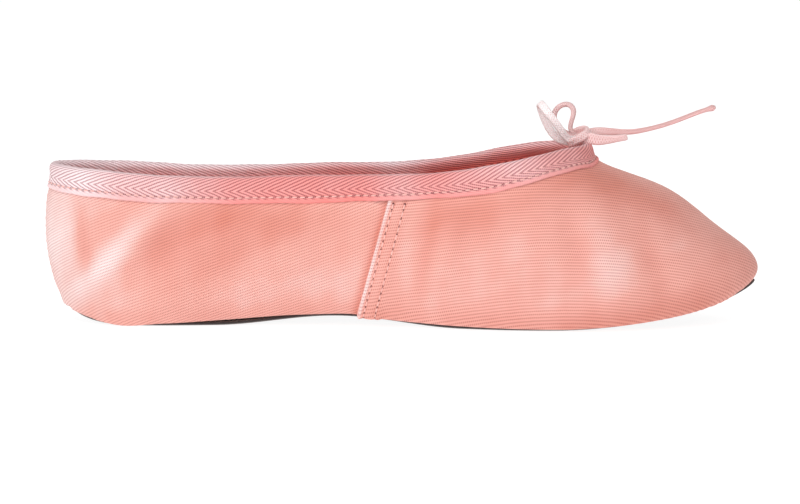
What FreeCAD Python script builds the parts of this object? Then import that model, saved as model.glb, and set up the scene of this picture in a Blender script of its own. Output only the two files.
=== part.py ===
"""A canvas ballet slipper: full suede sole, herringbone binding with a drawstring in it, tied in a small bow.

Frame: millimetres, +Z up, +X to the toe, +Y to the wearer's left. The origin is on the floor, under the
middle of the slipper. The upper is a surface lofted over nine last profiles on each side, and each ply of
cloth is a patch of that surface, moved out or in by its place in the stack.
"""

import FreeCAD, Part
import math
import os

V = FreeCAD.Vector

# ---------------------------------------------------------------- driving dimensions
LENGTH = 240.0              # heel to toe, over the canvas
CANVAS = 0.75               # twill canvas
LINING = 0.45               # cotton lining
TAPE = 0.6                  # herringbone tape
GAP = 0.05                  # air between neighbouring plies
TAPE_GAP = 0.12             # air between the binding and the cloth it is folded over
SOLE = 1.2                  # suede outsole
BOARD = 0.9                 # insole board
SOCK = 0.7                  # sock lining
BOARD_UP = 3.9              # underside of the insole board above the underside of the sole
BED_GAP, BED_EASE = 0.1, 0.6    # air under the turned-under margin, and how softly it flattens on the sole
CORD_R = 1.15               # cotton drawstring
CASING_R = 1.85             # outside of the binding's rolled edge
BINDING_W = 9.2             # height of the folded binding, rolled edge included
BACK_FLAP = 6.6             # how far the binding reaches down inside
THROAT_TRIM = (2.0, 26.0)   # how much less it reaches down outside at the throat, and over what length
CLOTH_TOP = 2.0             # the cloth stops this far under the middle of the casing
SEAM_LOW = (105.0, 3.8)     # x from the heel and z of the vamp's folded edge at the sole
SEAM_HIGH = (115.4, 42.0)   # and at the binding
SEAM_LAP = 8.0              # how far the quarter runs on under the vamp
STITCH_PITCH = 2.6
STITCH_LENGTH = 1.9
STITCH_R = 0.22
STITCH_LIFT = 0.2           # air between a stitch and the cloth it lies on
SEAM_ROWS = (2.2, 6.0)      # stitch rows, measured from the vamp's folded edge
BINDING_ROW = 1.9           # stitch row, measured from the binding's lower edge
CHANNEL = (2.6, 1.0, 0.65)  # the sole's stitch channel: distance from the edge, width, depth
THROAT_GAP = 1.4            # half the opening between the binding's two ends

# Last profiles from the turned-under edge up to the rim: x from the heel, y from the middle, z from the floor.
HEEL = [(14.5, 0, 3.4), (7.3, 0, 6.7), (3.5, 0, 12.0), (1.4, 0, 20.0),
        (0.3, 0, 29.0), (0.5, 0, 37.5), (1.4, 0, 44.4), (3.6, 0, 51.3)]
HEEL_SIDE = [(26.0, 11.0, 1.9), (22.5, 17.9, 2.2), (20.5, 21.0, 8.0), (19.4, 22.3, 16.0),
             (18.8, 22.6, 25.4), (18.8, 21.8, 35.0), (19.2, 20.4, 42.8), (20.2, 18.4, 50.2)]
HIND = [(55.0, 12.0, 2.1), (55.0, 21.2, 2.4), (55.0, 24.7, 8.0), (55.0, 26.1, 16.0),
        (55.0, 26.4, 25.0), (55.0, 25.5, 34.0), (55.0, 24.2, 41.3), (55.0, 22.2, 48.3)]
WAIST = [(95.0, 11.0, 4.6), (95.0, 21.3, 4.6), (95.0, 25.2, 9.5), (95.0, 26.9, 18.0),
         (95.0, 27.2, 27.0), (95.0, 26.3, 35.3), (95.0, 25.0, 42.1), (95.0, 23.0, 49.0)]
SHANK = [(130.0, 15.0, 3.4), (130.0, 27.2, 3.3), (130.0, 31.4, 9.3), (129.5, 32.8, 18.2),
         (129.0, 32.2, 27.2), (128.0, 30.2, 35.6), (127.0, 28.2, 42.4), (126.0, 25.4, 49.6)]
BALL = [(166.0, 22.5, 2.3), (166.0, 34.0, 2.2), (165.0, 37.9, 9.0), (164.0, 38.2, 18.0),
        (162.0, 36.8, 27.5), (158.0, 34.2, 36.8), (154.5, 31.9, 45.6), (150.8, 29.6, 53.0)]
TOE_SIDE = [(206.0, 16.5, 5.0), (211.0, 26.2, 5.1), (212.5, 29.5, 11.5), (210.5, 29.5, 19.0),
            (205.0, 27.8, 28.0), (194.0, 25.2, 39.5), (178.5, 21.4, 50.8), (172.6, 20.0, 57.0)]
TOE_CORNER = [(219.5, 9.5, 7.5), (227.0, 15.8, 8.8), (230.2, 18.8, 14.0), (228.2, 18.7, 20.8),
              (218.4, 16.9, 30.2), (203.2, 14.4, 42.8), (183.4, 12.0, 52.3), (179.8, 11.0, 57.6)]
TOE = [(227.5, 0, 9.5), (235.4, 0, 12.7), (239.2, 0, 17.0), (236.9, 0, 22.6),
       (225.2, 0, 31.6), (207.0, 0, 44.5), (185.4, 0, 53.2), (182.4, 0, 57.8)]
STATIONS = (0.0, 27.0, 64.0, 106.0, 140.0, 176.0, 224.0, 245.0, 266.0)     # the profiles' places along the girth
PROFILES = (HEEL, HEEL_SIDE, HIND, WAIST, SHANK, BALL, TOE_SIDE, TOE_CORNER, TOE)
LEVELS = len(HEEL)
BINDING_LINE, RIM = 6, 7    # the levels of the binding's lower line and of the casing's middle

# The sole's lower face from the side: it rests on the floor under the heel and under the ball.
HEEL_TREAD = (36.0, 58.0)
BALL_TREAD = (140.0, 172.0)
HEEL_LIFT, ARCH_LIFT, TOE_LIFT, TIP_LIFT = 6.2, 2.8, 8.4, 3.9
SOLE_ENDS = (5.8, 239.3)
SOLE_OUTLINE = [(5.8, 0), (8.2, 7.6), (16.0, 14.6), (28.0, 18.3), (45.0, 19.0), (62.0, 17.7), (80.0, 15.8),
                (98.0, 15.6), (118.0, 19.8), (138.0, 26.0), (158.0, 30.2), (178.0, 30.2), (198.0, 26.6),
                (213.0, 21.4), (225.0, 14.6), (233.6, 8.0), (238.0, 3.7), (239.3, 0)]
MIDDLE = LENGTH / 2

# The bow, as points of each cord's route: x from the heel, y and z. All four run out of the knot.
KNOT = (179.2, 0.0, 61.6)
KNOT_SIZE = (3.7, 3.4, 2.5)
PIVOT = (0.95, 1.05)        # the strand across the throat that the bow swings on: radius and half its length
LOOP_NEAR = [(175.7, -2.6, 60.6), (174.0, -4.2, 62.8), (172.0, -5.5, 65.7), (169.9, -6.3, 68.6),
             (168.1, -6.1, 70.8), (166.9, -4.8, 72.4), (166.3, -2.7, 73.0), (166.4, -0.7, 72.1),
             (167.0, 0.2, 70.1), (168.0, -0.1, 67.4), (169.4, -1.0, 64.4), (171.3, -1.8, 61.8),
             (174.4, -2.0, 60.0)]
LOOP_FAR = [(176.6, 2.2, 63.8), (177.1, 3.1, 66.1), (177.9, 4.2, 68.4), (178.1, 5.7, 70.4),
            (176.8, 7.1, 71.9), (174.6, 7.6, 71.9), (172.5, 6.9, 70.6), (171.4, 5.7, 68.6),
            (171.6, 4.5, 66.3), (173.0, 3.5, 64.2), (175.4, 2.8, 62.6)]
TAIL_SHORT = [(182.8, -2.4, 61.3), (185.4, -3.6, 60.7), (188.6, -4.4, 60.8), (192.0, -5.2, 61.3),
              (195.4, -5.6, 61.9)]
TAIL_LONG = [(182.4, 1.9, 62.9), (186.4, 2.9, 63.3), (191.4, 3.5, 62.9), (197.4, 3.7, 62.7),
             (203.4, 3.6, 63.8), (209.6, 3.4, 65.5), (215.6, 3.0, 67.8), (221.0, 2.7, 70.0),
             (225.6, 2.3, 71.3)]


# ---------------------------------------------------------------- splines
def solve(rows, right):
    """Gaussian elimination, where the right side may hold vectors."""
    n = len(rows)
    rows, right = [list(r) for r in rows], list(right)
    for i in range(n):
        p = max(range(i, n), key=lambda k: abs(rows[k][i]))
        rows[i], rows[p] = rows[p], rows[i]
        right[i], right[p] = right[p], right[i]
        for k in range(i + 1, n):
            f = rows[k][i] / rows[i][i]
            if f:
                rows[k] = [a - f * b for a, b in zip(rows[k], rows[i])]
                right[k] = right[k] - right[i] * f
    for i in reversed(range(n)):
        for k in range(i + 1, n):
            right[i] = right[i] - right[k] * rows[i][k]
        right[i] = right[i] * (1.0 / rows[i][i])
    return right


def cubic(knots, points, period=None):
    """A cubic spline through the points, natural at its ends or closed with the given period."""
    n = len(points)
    steps = [b - a for a, b in zip(knots, knots[1:])]
    if period:
        steps.append(period - knots[-1] + knots[0])
    rows, right = [], []
    for i in range(n):
        row = [0.0] * n
        if period is None and i in (0, n - 1):
            row[i] = 1.0
            rows.append(row)
            right.append(points[0] * 0.0)
            continue
        before, after = steps[i - 1], steps[i % len(steps)]
        row[i - 1] += before
        row[i] += 2 * (before + after)
        row[(i + 1) % n] += after
        rows.append(row)
        rise = (points[(i + 1) % n] - points[i]) * (1 / after)
        right.append((rise - (points[i] - points[i - 1]) * (1 / before)) * 6.0)
    bend = solve(rows, right)

    def at(t):
        if period:
            t = (t - knots[0]) % period + knots[0]
        i = 0
        while i < len(steps) - 1 and t > knots[i] + steps[i]:
            i += 1
        h, j = steps[i], (i + 1) % n
        b = (t - knots[i]) / h
        a = 1 - b
        curl = bend[i] * (a ** 3 - a) + bend[j] * (b ** 3 - b)
        return points[i] * a + points[j] * b + curl * (h * h / 6)

    return at


def through(points, count, closed=False):
    """Evenly spread points of a smooth curve through the given points."""
    knots = [0.0]
    for a, b in zip(points, points[1:]):
        knots.append(knots[-1] + (b - a).Length)
    end = knots[-1] + ((points[0] - points[-1]).Length if closed else 0.0)
    at = cubic(knots, points, end if closed else None)
    return [at(end * i / (count if closed else count - 1)) for i in range(count)]


def smooth(t):
    t = min(max(t, 0.0), 1.0)
    return t * t * (3 - 2 * t)


# ---------------------------------------------------------------- the upper's surface
def level_curves():
    """One closed curve round the slipper for each level, on a common girth position from 0 to 1."""
    half = STATIONS[-1]
    knots = [s / (2 * half) for s in STATIONS] + [1 - s / (2 * half) for s in STATIONS[-2:0:-1]]
    curves = []
    for level in range(LEVELS):
        right_side = [V(p[level][0] - MIDDLE, -p[level][1], p[level][2])
                      for p in PROFILES]
        left_side = [V(p.x, -p.y, p.z) for p in right_side[-2:0:-1]]
        curves.append(cubic(knots, right_side + left_side, 1.0))
    return curves


CURVES = level_curves()
_profiles = {}


def profile(u):
    """The profile at girth position u: its spline and the spline's parameter at each level."""
    key = round(u % 1.0, 7)
    if key not in _profiles:
        points = [curve(key) for curve in CURVES]
        knots = [0.0]
        for a, b in zip(points, points[1:]):
            knots.append(knots[-1] + math.sqrt((b - a).Length))
        _profiles[key] = cubic(knots, points), knots
    return _profiles[key]


def sole_height(x):
    """Height of the sole's lower face above the floor, x being measured from the heel."""
    if x < HEEL_TREAD[0]:
        return HEEL_LIFT * ((HEEL_TREAD[0] - x) / (HEEL_TREAD[0] - SOLE_ENDS[0])) ** 3.4
    if HEEL_TREAD[1] < x < BALL_TREAD[0]:
        return ARCH_LIFT * math.sin(math.pi * (x - HEEL_TREAD[1]) / (BALL_TREAD[0] - HEEL_TREAD[1])) ** 2
    if x > BALL_TREAD[1]:
        share = (x - BALL_TREAD[1]) / (SOLE_ENDS[1] - BALL_TREAD[1])
        return TOE_LIFT * share ** 1.7 + TIP_LIFT * share ** 6
    return 0.0


def on_last(u, w):
    """A point of the reference surface, w being the level. Its turned-under margin lies flat on the sole."""
    at, knots = profile(u)
    i = min(max(int(w), 0), LEVELS - 2)
    p = at(knots[i] + (w - i) * (knots[i + 1] - knots[i]))
    under_vamp = smooth((p.x + MIDDLE - SEAM_LOW[0] + 18.0) / 16.0)
    bed = sole_height(p.x + MIDDLE) + SOLE + BED_GAP + (CANVAS + GAP) * under_vamp
    above = (p.z - bed) * (0.35 + 0.65 * smooth(w / 1.3))
    p.z = bed + (above + math.hypot(above, BED_EASE)) / 2
    return p


def directions(u, w):
    """The outward normal and the upward direction along the cloth."""
    du, dw = 0.0008, 0.02
    low, high = max(w - dw, 0.0), min(w + dw, LEVELS - 1.0)
    along = on_last(u + du, w) - on_last(u - du, w)
    up = (on_last(u, high) - on_last(u, low)).normalize()
    return along.cross(up).normalize(), up


def off_last(u, w, d):
    """A point d outside the reference surface, or inside it where d is negative."""
    return on_last(u, w) + directions(u, w)[0] * d


def level_below_rim(u, down):
    """The level that lies that far below the rim, measured along the profile."""
    low, high = BINDING_LINE - 1.0, float(RIM)
    rim = on_last(u, RIM)
    for _ in range(22):
        mid = (low + high) / 2
        if (on_last(u, mid) - rim).Length > down:
            low = mid
        else:
            high = mid
    return (low + high) / 2


def seam_u(w, shift=0.0):
    """Girth position of the right side seam at that level, moved forward by shift."""
    low, high = 0.1, 0.45
    for _ in range(26):
        mid = (low + high) / 2
        p = on_last(mid, w)
        share = (p.z - SEAM_LOW[1]) / (SEAM_HIGH[1] - SEAM_LOW[1])
        if p.x < SEAM_LOW[0] + share * (SEAM_HIGH[0] - SEAM_LOW[0]) - MIDDLE + shift:
            low = mid
        else:
            high = mid
    return (low + high) / 2


SEAM_AT_RIM = seam_u(BINDING_LINE + 0.5)
PER_MM = 0.1 / (on_last(SEAM_AT_RIM + 0.05, BINDING_LINE) - on_last(SEAM_AT_RIM - 0.05, BINDING_LINE)).Length


def binding_drop(u):
    """How far the binding reaches below the rim outside: less towards the throat."""
    trim, reach = THROAT_TRIM
    from_throat = (0.5 - min(u % 1.0, 1 - u % 1.0)) / PER_MM
    return BINDING_W - CASING_R - trim * smooth(1 - from_throat / reach)


def outer_face(u):
    """How far the upper's outer face stands off the reference surface: more under the vamp."""
    ahead = (min(u % 1.0, 1 - u % 1.0) - SEAM_AT_RIM) / PER_MM
    return (CANVAS + GAP) * smooth((ahead + 7.5) / 6.0)


def inner_face(u):
    """How far the lining's inner face lies inside the reference surface: more behind the side seam."""
    ahead = (min(u % 1.0, 1 - u % 1.0) - SEAM_AT_RIM) / PER_MM
    deep, shallow = CANVAS + GAP + LINING, LINING
    return deep + (shallow - deep) * smooth((ahead - SEAM_LAP - 2.0) / 6.0)


# ---------------------------------------------------------------- solids from grids of points
def surface_through(grid):
    surface = Part.BSplineSurface()
    surface.interpolate(grid)
    return surface


def borders(surface):
    """The four edges of a surface, in the same order and direction for every surface."""
    u0, u1, v0, v1 = surface.bounds()
    return [curve.toShape() for curve in
            (surface.uIso(u0), surface.uIso(u1), surface.vIso(v0), surface.vIso(v1))]


def closed_solid(faces):
    shell = Part.makeShell(faces)
    shell.sewShape(0.02)
    solid = Part.makeSolid(shell.Shells[0])
    solid.fix(0.01, 0.01, 0.02)
    if solid.Volume < 0:
        solid.reverse()
    return solid


def skin(outer, inner):
    """The solid between two surfaces, given as grids of points of the same size."""
    a, b = surface_through(outer), surface_through(inner)
    sides = [Part.makeRuledSurface(p, q, 1) for p, q in zip(borders(a), borders(b))]
    return closed_solid([a.toShape(), b.toShape()] + sides)


def patch(u_edges, w_low, w_high, d_outer, d_inner, across, up):
    """A ply of cloth. u_edges gives its side edges at a level, w_low and w_high its ends at a position."""
    def grid(d):
        rows = []
        for i in range(across + 1):
            row = []
            for j in range(up + 1):
                share = (j / up) ** 1.5
                w = BINDING_LINE * share
                for _ in range(3):
                    first, last = u_edges(w)
                    u = first + (last - first) * i / across
                    w = w_low(u) + (w_high(u) - w_low(u)) * share
                row.append(off_last(u, w, d))
            rows.append(row)
        return rows

    return skin(grid(d_outer), grid(d_inner))


def hose(points, radius):
    """A nearly round tube along a gentle curve: two rounded surfaces with a narrow flat on each side."""
    last = len(points) - 1
    side = V(0, 0, 1)
    frames = []
    for i, p in enumerate(points):
        ahead = (points[min(i + 1, last)] - points[max(i - 1, 0)]).normalize()
        side = (side - ahead * side.dot(ahead)).normalize()
        frames.append((p, side, ahead.cross(side)))

    def half(first, final):
        turns = [math.radians(first + (final - first) * k / 8) for k in range(9)]
        return [[p + s * (radius * math.sin(t)) + up * (radius * math.cos(t)) for t in turns]
                for p, s, up in frames]

    return skin(half(10, 170), half(-10, -170))


def rounded_path(points):
    """Straight runs joined by tangent arcs, each as large as its two runs allow; also the arcs' radii."""
    edges, radii = [], []
    start = points[0]
    for before, corner, after in zip(points, points[1:], points[2:]):
        a, b = (before - corner), (after - corner)
        turn = math.pi - a.getAngle(b)
        setback = 0.45 * min(a.Length, b.Length)
        a, b = a.normalize(), b.normalize()
        radius = setback / math.tan(turn / 2)
        enter, leave = corner + a * setback, corner + b * setback
        middle = corner + (a + b).normalize() * (radius / math.cos(turn / 2) - radius)
        edges.append(Part.makeLine(start, enter))
        edges.append(Part.Arc(enter, middle, leave).toShape())
        radii.append(round(radius, 1))
        start = leave
    edges.append(Part.makeLine(start, points[-1]))
    return Part.Wire(edges), radii


def cord(name, route):
    """A round cord along a route given as points, x being measured from the heel."""
    points = [V(x - MIDDLE, y, z) for x, y, z in route]
    path, radii = rounded_path(points)
    circle = Part.Wire([Part.Circle(points[0], points[1] - points[0], CORD_R).toShape()])
    solid = path.makePipeShell([circle], True, False, 0)
    share = solid.Volume / (math.pi * CORD_R ** 2 * path.Length)
    print(name, "length", round(path.Length, 1), "radii", radii, "volume over section by length", round(share, 3))
    return solid


# ---------------------------------------------------------------- the layers under the foot
def side_line(first, last, up):
    """The sole's lower line from first to last, raised by up, as edges in the middle plane."""
    stops = [first] + [s for s in HEEL_TREAD + BALL_TREAD if first < s < last] + [last]
    edges = []
    for a, b in zip(stops, stops[1:]):
        if sole_height((a + b) / 2) == 0.0:
            edges.append(Part.makeLine(V(a - MIDDLE, 0, up), V(b - MIDDLE, 0, up)))
            continue
        xs = [a + (b - a) * i / 16 for i in range(17)]
        curve = Part.BSplineCurve()
        curve.interpolate([V(x - MIDDLE, 0, sole_height(x) + up) for x in xs])
        edges.append(curve.toShape())
    return edges


def band(first, last, low, high):
    """A slab that follows the sole's lower face between two heights above it."""
    lower, upper = side_line(first, last, low), side_line(first, last, high)
    ends = [Part.makeLine(V(x - MIDDLE, 0, sole_height(x) + low), V(x - MIDDLE, 0, sole_height(x) + high))
            for x in (first, last)]
    side = Part.Face(Part.Wire(Part.__sortEdges__(lower + upper + ends)))
    side.translate(V(0, -50, 0))
    return side.extrude(V(0, 100, 0))


def plan(points, inset=0.0):
    """A tall prism over a closed plan outline, moved in by the inset."""
    moved = []
    for i, p in enumerate(points):
        along = (points[(i + 1) % len(points)] - points[i - 1]).normalize()
        moved.append(V(p.x, p.y, 0) + V(-along.y, along.x, 0) * inset)
    curve = Part.BSplineCurve()
    curve.interpolate(moved, PeriodicFlag=True)
    face = Part.Face(Part.Wire([curve.toShape()]))
    face.translate(V(0, 0, -10))
    return face.extrude(V(0, 0, 60))


def outline_of_sole():
    right_side = [V(x - MIDDLE, -y, 0) for x, y in SOLE_OUTLINE]
    left_side = [V(p.x, -p.y, 0) for p in right_side[-2:0:-1]]
    return through(right_side + left_side, 96, closed=True)


def outline_inside(height, inset):
    """The plan line where the lining stands at that height above the sole's lower face, less the inset."""
    points = []
    for i in range(64):
        u = i / 64
        low, high = 0.6, 3.0
        for _ in range(20):
            mid = (low + high) / 2
            p = off_last(u, mid, -inner_face(u) - inset)
            if p.z < sole_height(p.x + MIDDLE) + height:
                low = mid
            else:
                high = mid
        p = off_last(u, low, -inner_face(u) - inset)
        points.append(V(p.x, p.y, 0))
    return points


def one(shape):
    """The single solid of a boolean result."""
    return max(shape.Solids, key=lambda s: s.Volume)


def make_outsole():
    outline = outline_of_sole()
    body = one(band(SOLE_ENDS[0] - 1, SOLE_ENDS[1] + 1, 0.0, SOLE).common(plan(outline)))
    inset, width, depth = CHANNEL
    ring = plan(outline, inset).cut(plan(outline, inset + width))
    channel = ring.common(band(SOLE_ENDS[0] - 1, SOLE_ENDS[1] + 1, -1.0, depth))
    return one(body.cut(channel))


def layer(outline, low, high):
    return one(band(SOLE_ENDS[0], SOLE_ENDS[1], low, high).common(plan(outline)))


def pad(first, last):
    """A filler pad lying between the turned-under margins."""
    outline = []
    for i in range(64):
        p = on_last(i / 64, 0)
        outline.append(V(p.x, p.y, 0))
    low, high = SOLE + GAP, BOARD_UP - GAP
    return one(band(first, last, low, high).common(plan(outline, 1.0)))


# ---------------------------------------------------------------- the upper
def bottom(u):
    return 0.0


def cloth_top(u):
    return level_below_rim(u, CLOTH_TOP)


def mirrored(shape):
    return shape.mirror(V(0, 0, 0), V(0, 1, 0))


def make_vamp(d_outer, d_inner, shift):
    def edges(w):
        seam = seam_u(w, shift)
        return seam, 1 - seam
    return patch(edges, bottom, cloth_top, d_outer, d_inner, 48, 20)


def make_quarter(d_outer, d_inner):
    def edges(w):
        return GAP * PER_MM, seam_u(w, SEAM_LAP)
    return patch(edges, bottom, cloth_top, d_outer, d_inner, 34, 20)


def make_heel_tape():
    half = 5.0 * PER_MM
    d = -(CANVAS + LINING + 2 * GAP)

    def edges(w):
        return -half, half

    def top(u):
        return level_below_rim(u, BACK_FLAP + 0.6)

    return patch(edges, lambda u: 2.0, top, d, d - 0.4, 4, 10)


def make_binding():
    """The folded tape: down the outside, round the casing, down the inside, open at the throat."""
    near = THROAT_GAP * 2
    rate = near / (on_last(0.5 + 0.004, RIM) - on_last(0.5 - 0.004, RIM)).Length * 0.004
    first, last = -0.5 + rate, 0.5 - rate
    steps, turns = 6, 8
    bore = CASING_R - TAPE

    def row(u, lift):
        points = []
        for j in range(steps):
            down = binding_drop(u) * (1 - j / steps)
            open_up = smooth(1 - down / 5.0) ** 2
            base = outer_face(u) + TAPE_GAP
            points.append(off_last(u, level_below_rim(u, down), base + (bore - base) * open_up + lift))
        out, up = directions(u, RIM)
        rim = on_last(u, RIM)
        for j in range(turns + 1):
            turn = math.pi * j / turns
            points.append(rim + out * ((bore + lift) * math.cos(turn)) + up * ((bore + lift) * math.sin(turn)))
        for j in range(1, steps + 1):
            down = BACK_FLAP * j / steps
            open_up = smooth(1 - down / 5.0) ** 2
            base = inner_face(u) + TAPE_GAP
            points.append(off_last(u, level_below_rim(u, down), -(base + (bore - base) * open_up + lift)))
        return points

    count = 110
    spots = [first + (last - first) * i / count for i in range(count + 1)]
    return skin([row(u, TAPE) for u in spots], [row(u, 0.0) for u in spots])


def make_drawstring():
    rate = (THROAT_GAP + 0.3) * 0.008 / (on_last(0.504, RIM) - on_last(0.496, RIM)).Length
    spots = [-0.5 + rate + (1 - 2 * rate) * i / 120 for i in range(121)]
    return hose([on_last(u, RIM) for u in spots], CORD_R - 0.1)


# ---------------------------------------------------------------- stitches
def stitch(a, b):
    """A short round bar from a to b."""
    return Part.makeCylinder(STITCH_R, (b - a).Length, a, b - a)


def stitches_along(points):
    """Bars of the stitch length along a line of points, one for each pitch."""
    lengths = [0.0]
    for a, b in zip(points, points[1:]):
        lengths.append(lengths[-1] + (b - a).Length)

    def at(s):
        i = max(k for k in range(len(lengths) - 1) if lengths[k] <= s)
        return points[i] + (points[i + 1] - points[i]) * ((s - lengths[i]) / (lengths[i + 1] - lengths[i]))

    count = int((lengths[-1] - STITCH_LENGTH) / STITCH_PITCH)
    start = (lengths[-1] - count * STITCH_PITCH - STITCH_LENGTH) / 2
    bars = []
    for k in range(count + 1):
        s = start + k * STITCH_PITCH
        bars.append(stitch(at(s), at(min(s + STITCH_LENGTH, lengths[-1] - 1e-6))))
    return bars


def make_side_stitches():
    bars = []
    for row in SEAM_ROWS:
        line = []
        for i in range(41):
            w = 1.15 + (5.95 - 1.15) * i / 40
            line.append(off_last(seam_u(w, row), w, CANVAS + GAP + STITCH_R + STITCH_LIFT))
        bars += stitches_along(line)
    return Part.makeCompound(bars)


def make_heel_stitches():
    bars = []
    for side in (-1, 1):
        u = side * 1.6 * PER_MM
        line = [off_last(u, 1.15 + 4.8 * i / 40, STITCH_R + STITCH_LIFT) for i in range(41)]
        bars += stitches_along(line)
    return Part.makeCompound(bars)


def make_binding_stitches():
    line = []
    for i in range(401):
        u = -0.496 + 0.992 * i / 400
        down = binding_drop(u) - BINDING_ROW
        open_up = smooth(1 - down / 5.0) ** 2
        base = outer_face(u) + TAPE_GAP
        d = base + (CASING_R - TAPE - base) * open_up + TAPE + STITCH_R + STITCH_LIFT
        line.append(off_last(u, level_below_rim(u, down), d))
    return Part.makeCompound(stitches_along(line))


def make_sole_stitches():
    inset, width, depth = CHANNEL
    outline = outline_of_sole()
    points = []
    for i, p in enumerate(outline + outline[:1]):
        along = (outline[(i + 1) % len(outline)] - outline[i - 1 if i < len(outline) else -1]).normalize()
        q = V(p.x, p.y, 0) + V(-along.y, along.x, 0) * (inset + width / 2)
        points.append(V(q.x, q.y, sole_height(q.x + MIDDLE) + depth - STITCH_R - STITCH_LIFT))
    tip = SOLE_ENDS[1] - MIDDLE - 6.0
    return Part.makeCompound([bar for bar in stitches_along(points) if bar.BoundBox.XMax < tip])


# ---------------------------------------------------------------- the bow
def make_knot():
    """A wrap round a core, on the strand that crosses the throat and lets the bow swing."""
    centre = V(KNOT[0] - MIDDLE, KNOT[1], KNOT[2])
    a, b, c = KNOT_SIZE
    core = Part.makeSphere(1.0)
    size = FreeCAD.Matrix()
    size.scale(a - 0.5, b - 0.4, c - 0.2)
    knot = core.transformGeometry(size)
    wrap = Part.makeTorus(1.0, 0.46, V(0, 0, 0), V(1, 0, 0.25))
    size = FreeCAD.Matrix()
    size.scale(2.0, b * 0.69, c * 0.69)
    knot = knot.fuse(wrap.transformGeometry(size))
    knot.translate(centre)
    rim = on_last(0.5, RIM)
    strand_r, half = PIVOT
    knot = knot.fuse(Part.makeCylinder(strand_r, 2 * half, rim - V(0, half, 0), V(0, 1, 0)))
    return one(knot.fuse(Part.makeCylinder(strand_r - 0.1, (centre - rim).Length, rim, centre - rim)))


if __name__ == "__main__":
    os.makedirs("parts", exist_ok=True)
    deep = CANVAS + GAP
    quarter = make_quarter(0.0, -CANVAS)
    quarter_lining = make_quarter(-deep, -deep - LINING)
    knot = make_knot()
    seams = make_side_stitches()
    parts = {
        "outsole": make_outsole(),
        "insole_board": layer(outline_inside(BOARD_UP, 0.4), BOARD_UP, BOARD_UP + BOARD),
        "sock_lining": layer(outline_inside(BOARD_UP + BOARD, 0.3), BOARD_UP + BOARD + GAP,
                             BOARD_UP + BOARD + GAP + SOCK),
        "forefoot_pad": pad(128.0, 221.0),
        "heel_pad": pad(18.0, 92.0),
        "vamp": make_vamp(deep, GAP, 0.0),
        "vamp_lining": make_vamp(0.0, -LINING, SEAM_LAP + 0.3),
        "quarter_right": quarter,
        "quarter_left": mirrored(quarter),
        "quarter_lining_right": quarter_lining,
        "quarter_lining_left": mirrored(quarter_lining),
        "heel_seam_tape": make_heel_tape(),
        "binding": make_binding(),
        "drawstring": make_drawstring(),
        "bow_knot": knot,
        "bow_loop_near": cord("bow_loop_near", LOOP_NEAR),
        "bow_loop_far": cord("bow_loop_far", LOOP_FAR),
        "bow_tail_short": cord("bow_tail_short", TAIL_SHORT),
        "bow_tail_long": cord("bow_tail_long", TAIL_LONG),
        "side_seam_stitches_right": seams,
        "side_seam_stitches_left": mirrored(seams),
        "heel_seam_stitches": make_heel_stitches(),
        "binding_stitches": make_binding_stitches(),
        "outsole_stitches": make_sole_stitches(),
    }
    for name, shape in parts.items():
        print(name, shape.ShapeType, len(shape.Solids), shape.isValid(), round(shape.Volume, 1))
        shape.exportStep("parts/" + name + ".step")
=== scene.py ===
"""The looks of a canvas ballet slipper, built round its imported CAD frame.

Metres, +Z up, +X to the toe, +Y to the wearer's left. The upper is the same last surface as in the CAD
model: u runs once round the slipper from the heel, w up the profile from the turned-under edge to the rim.
"""

import math

import bmesh
import bpy
import numpy as np
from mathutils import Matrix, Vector


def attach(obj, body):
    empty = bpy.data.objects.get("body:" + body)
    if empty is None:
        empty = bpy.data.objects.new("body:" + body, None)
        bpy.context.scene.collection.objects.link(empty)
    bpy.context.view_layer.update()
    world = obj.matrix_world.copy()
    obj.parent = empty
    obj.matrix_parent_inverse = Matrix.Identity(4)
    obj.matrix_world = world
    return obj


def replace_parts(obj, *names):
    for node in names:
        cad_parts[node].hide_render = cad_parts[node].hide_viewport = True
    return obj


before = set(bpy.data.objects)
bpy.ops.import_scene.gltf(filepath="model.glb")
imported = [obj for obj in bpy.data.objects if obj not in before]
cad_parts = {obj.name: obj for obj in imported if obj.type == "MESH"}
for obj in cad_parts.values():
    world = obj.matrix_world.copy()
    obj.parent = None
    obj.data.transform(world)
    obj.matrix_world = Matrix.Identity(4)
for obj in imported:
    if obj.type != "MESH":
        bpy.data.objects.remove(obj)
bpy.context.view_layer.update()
MM = 0.001

# -------------------------------------------------------- sizes in millimetres, as in the CAD model
LENGTH = 240.0
CANVAS, LINING, TAPE = 0.75, 0.45, 0.6
SOLE, BOARD, SOCK = 1.2, 0.9, 0.7
GAP, TAPE_GAP = 0.05, 0.12
BOARD_UP = 3.9
BED_GAP, BED_EASE = 0.1, 0.6
CASING_R = 1.85
BINDING_W = 9.2
BINDING_DROP = BINDING_W - CASING_R
BORE = CASING_R - TAPE
BACK_FLAP = 6.6
THROAT_TRIM = (2.0, 26.0)
CLOTH_TOP = 2.0
SEAM_LOW = (105.0, 3.8)
SEAM_HIGH = (115.4, 42.0)
SEAM_LAP = 8.0
STITCH_PITCH, STITCH_LENGTH = 2.6, 1.9
SEAM_ROWS = (2.2, 6.0)
BINDING_ROW = 1.9
CHANNEL = (2.6, 1.0, 0.65)
THROAT_GAP = 1.4
MIDDLE = LENGTH / 2
LEVEL_HEIGHT = 9.0           # about how far apart two levels of the last are

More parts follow.
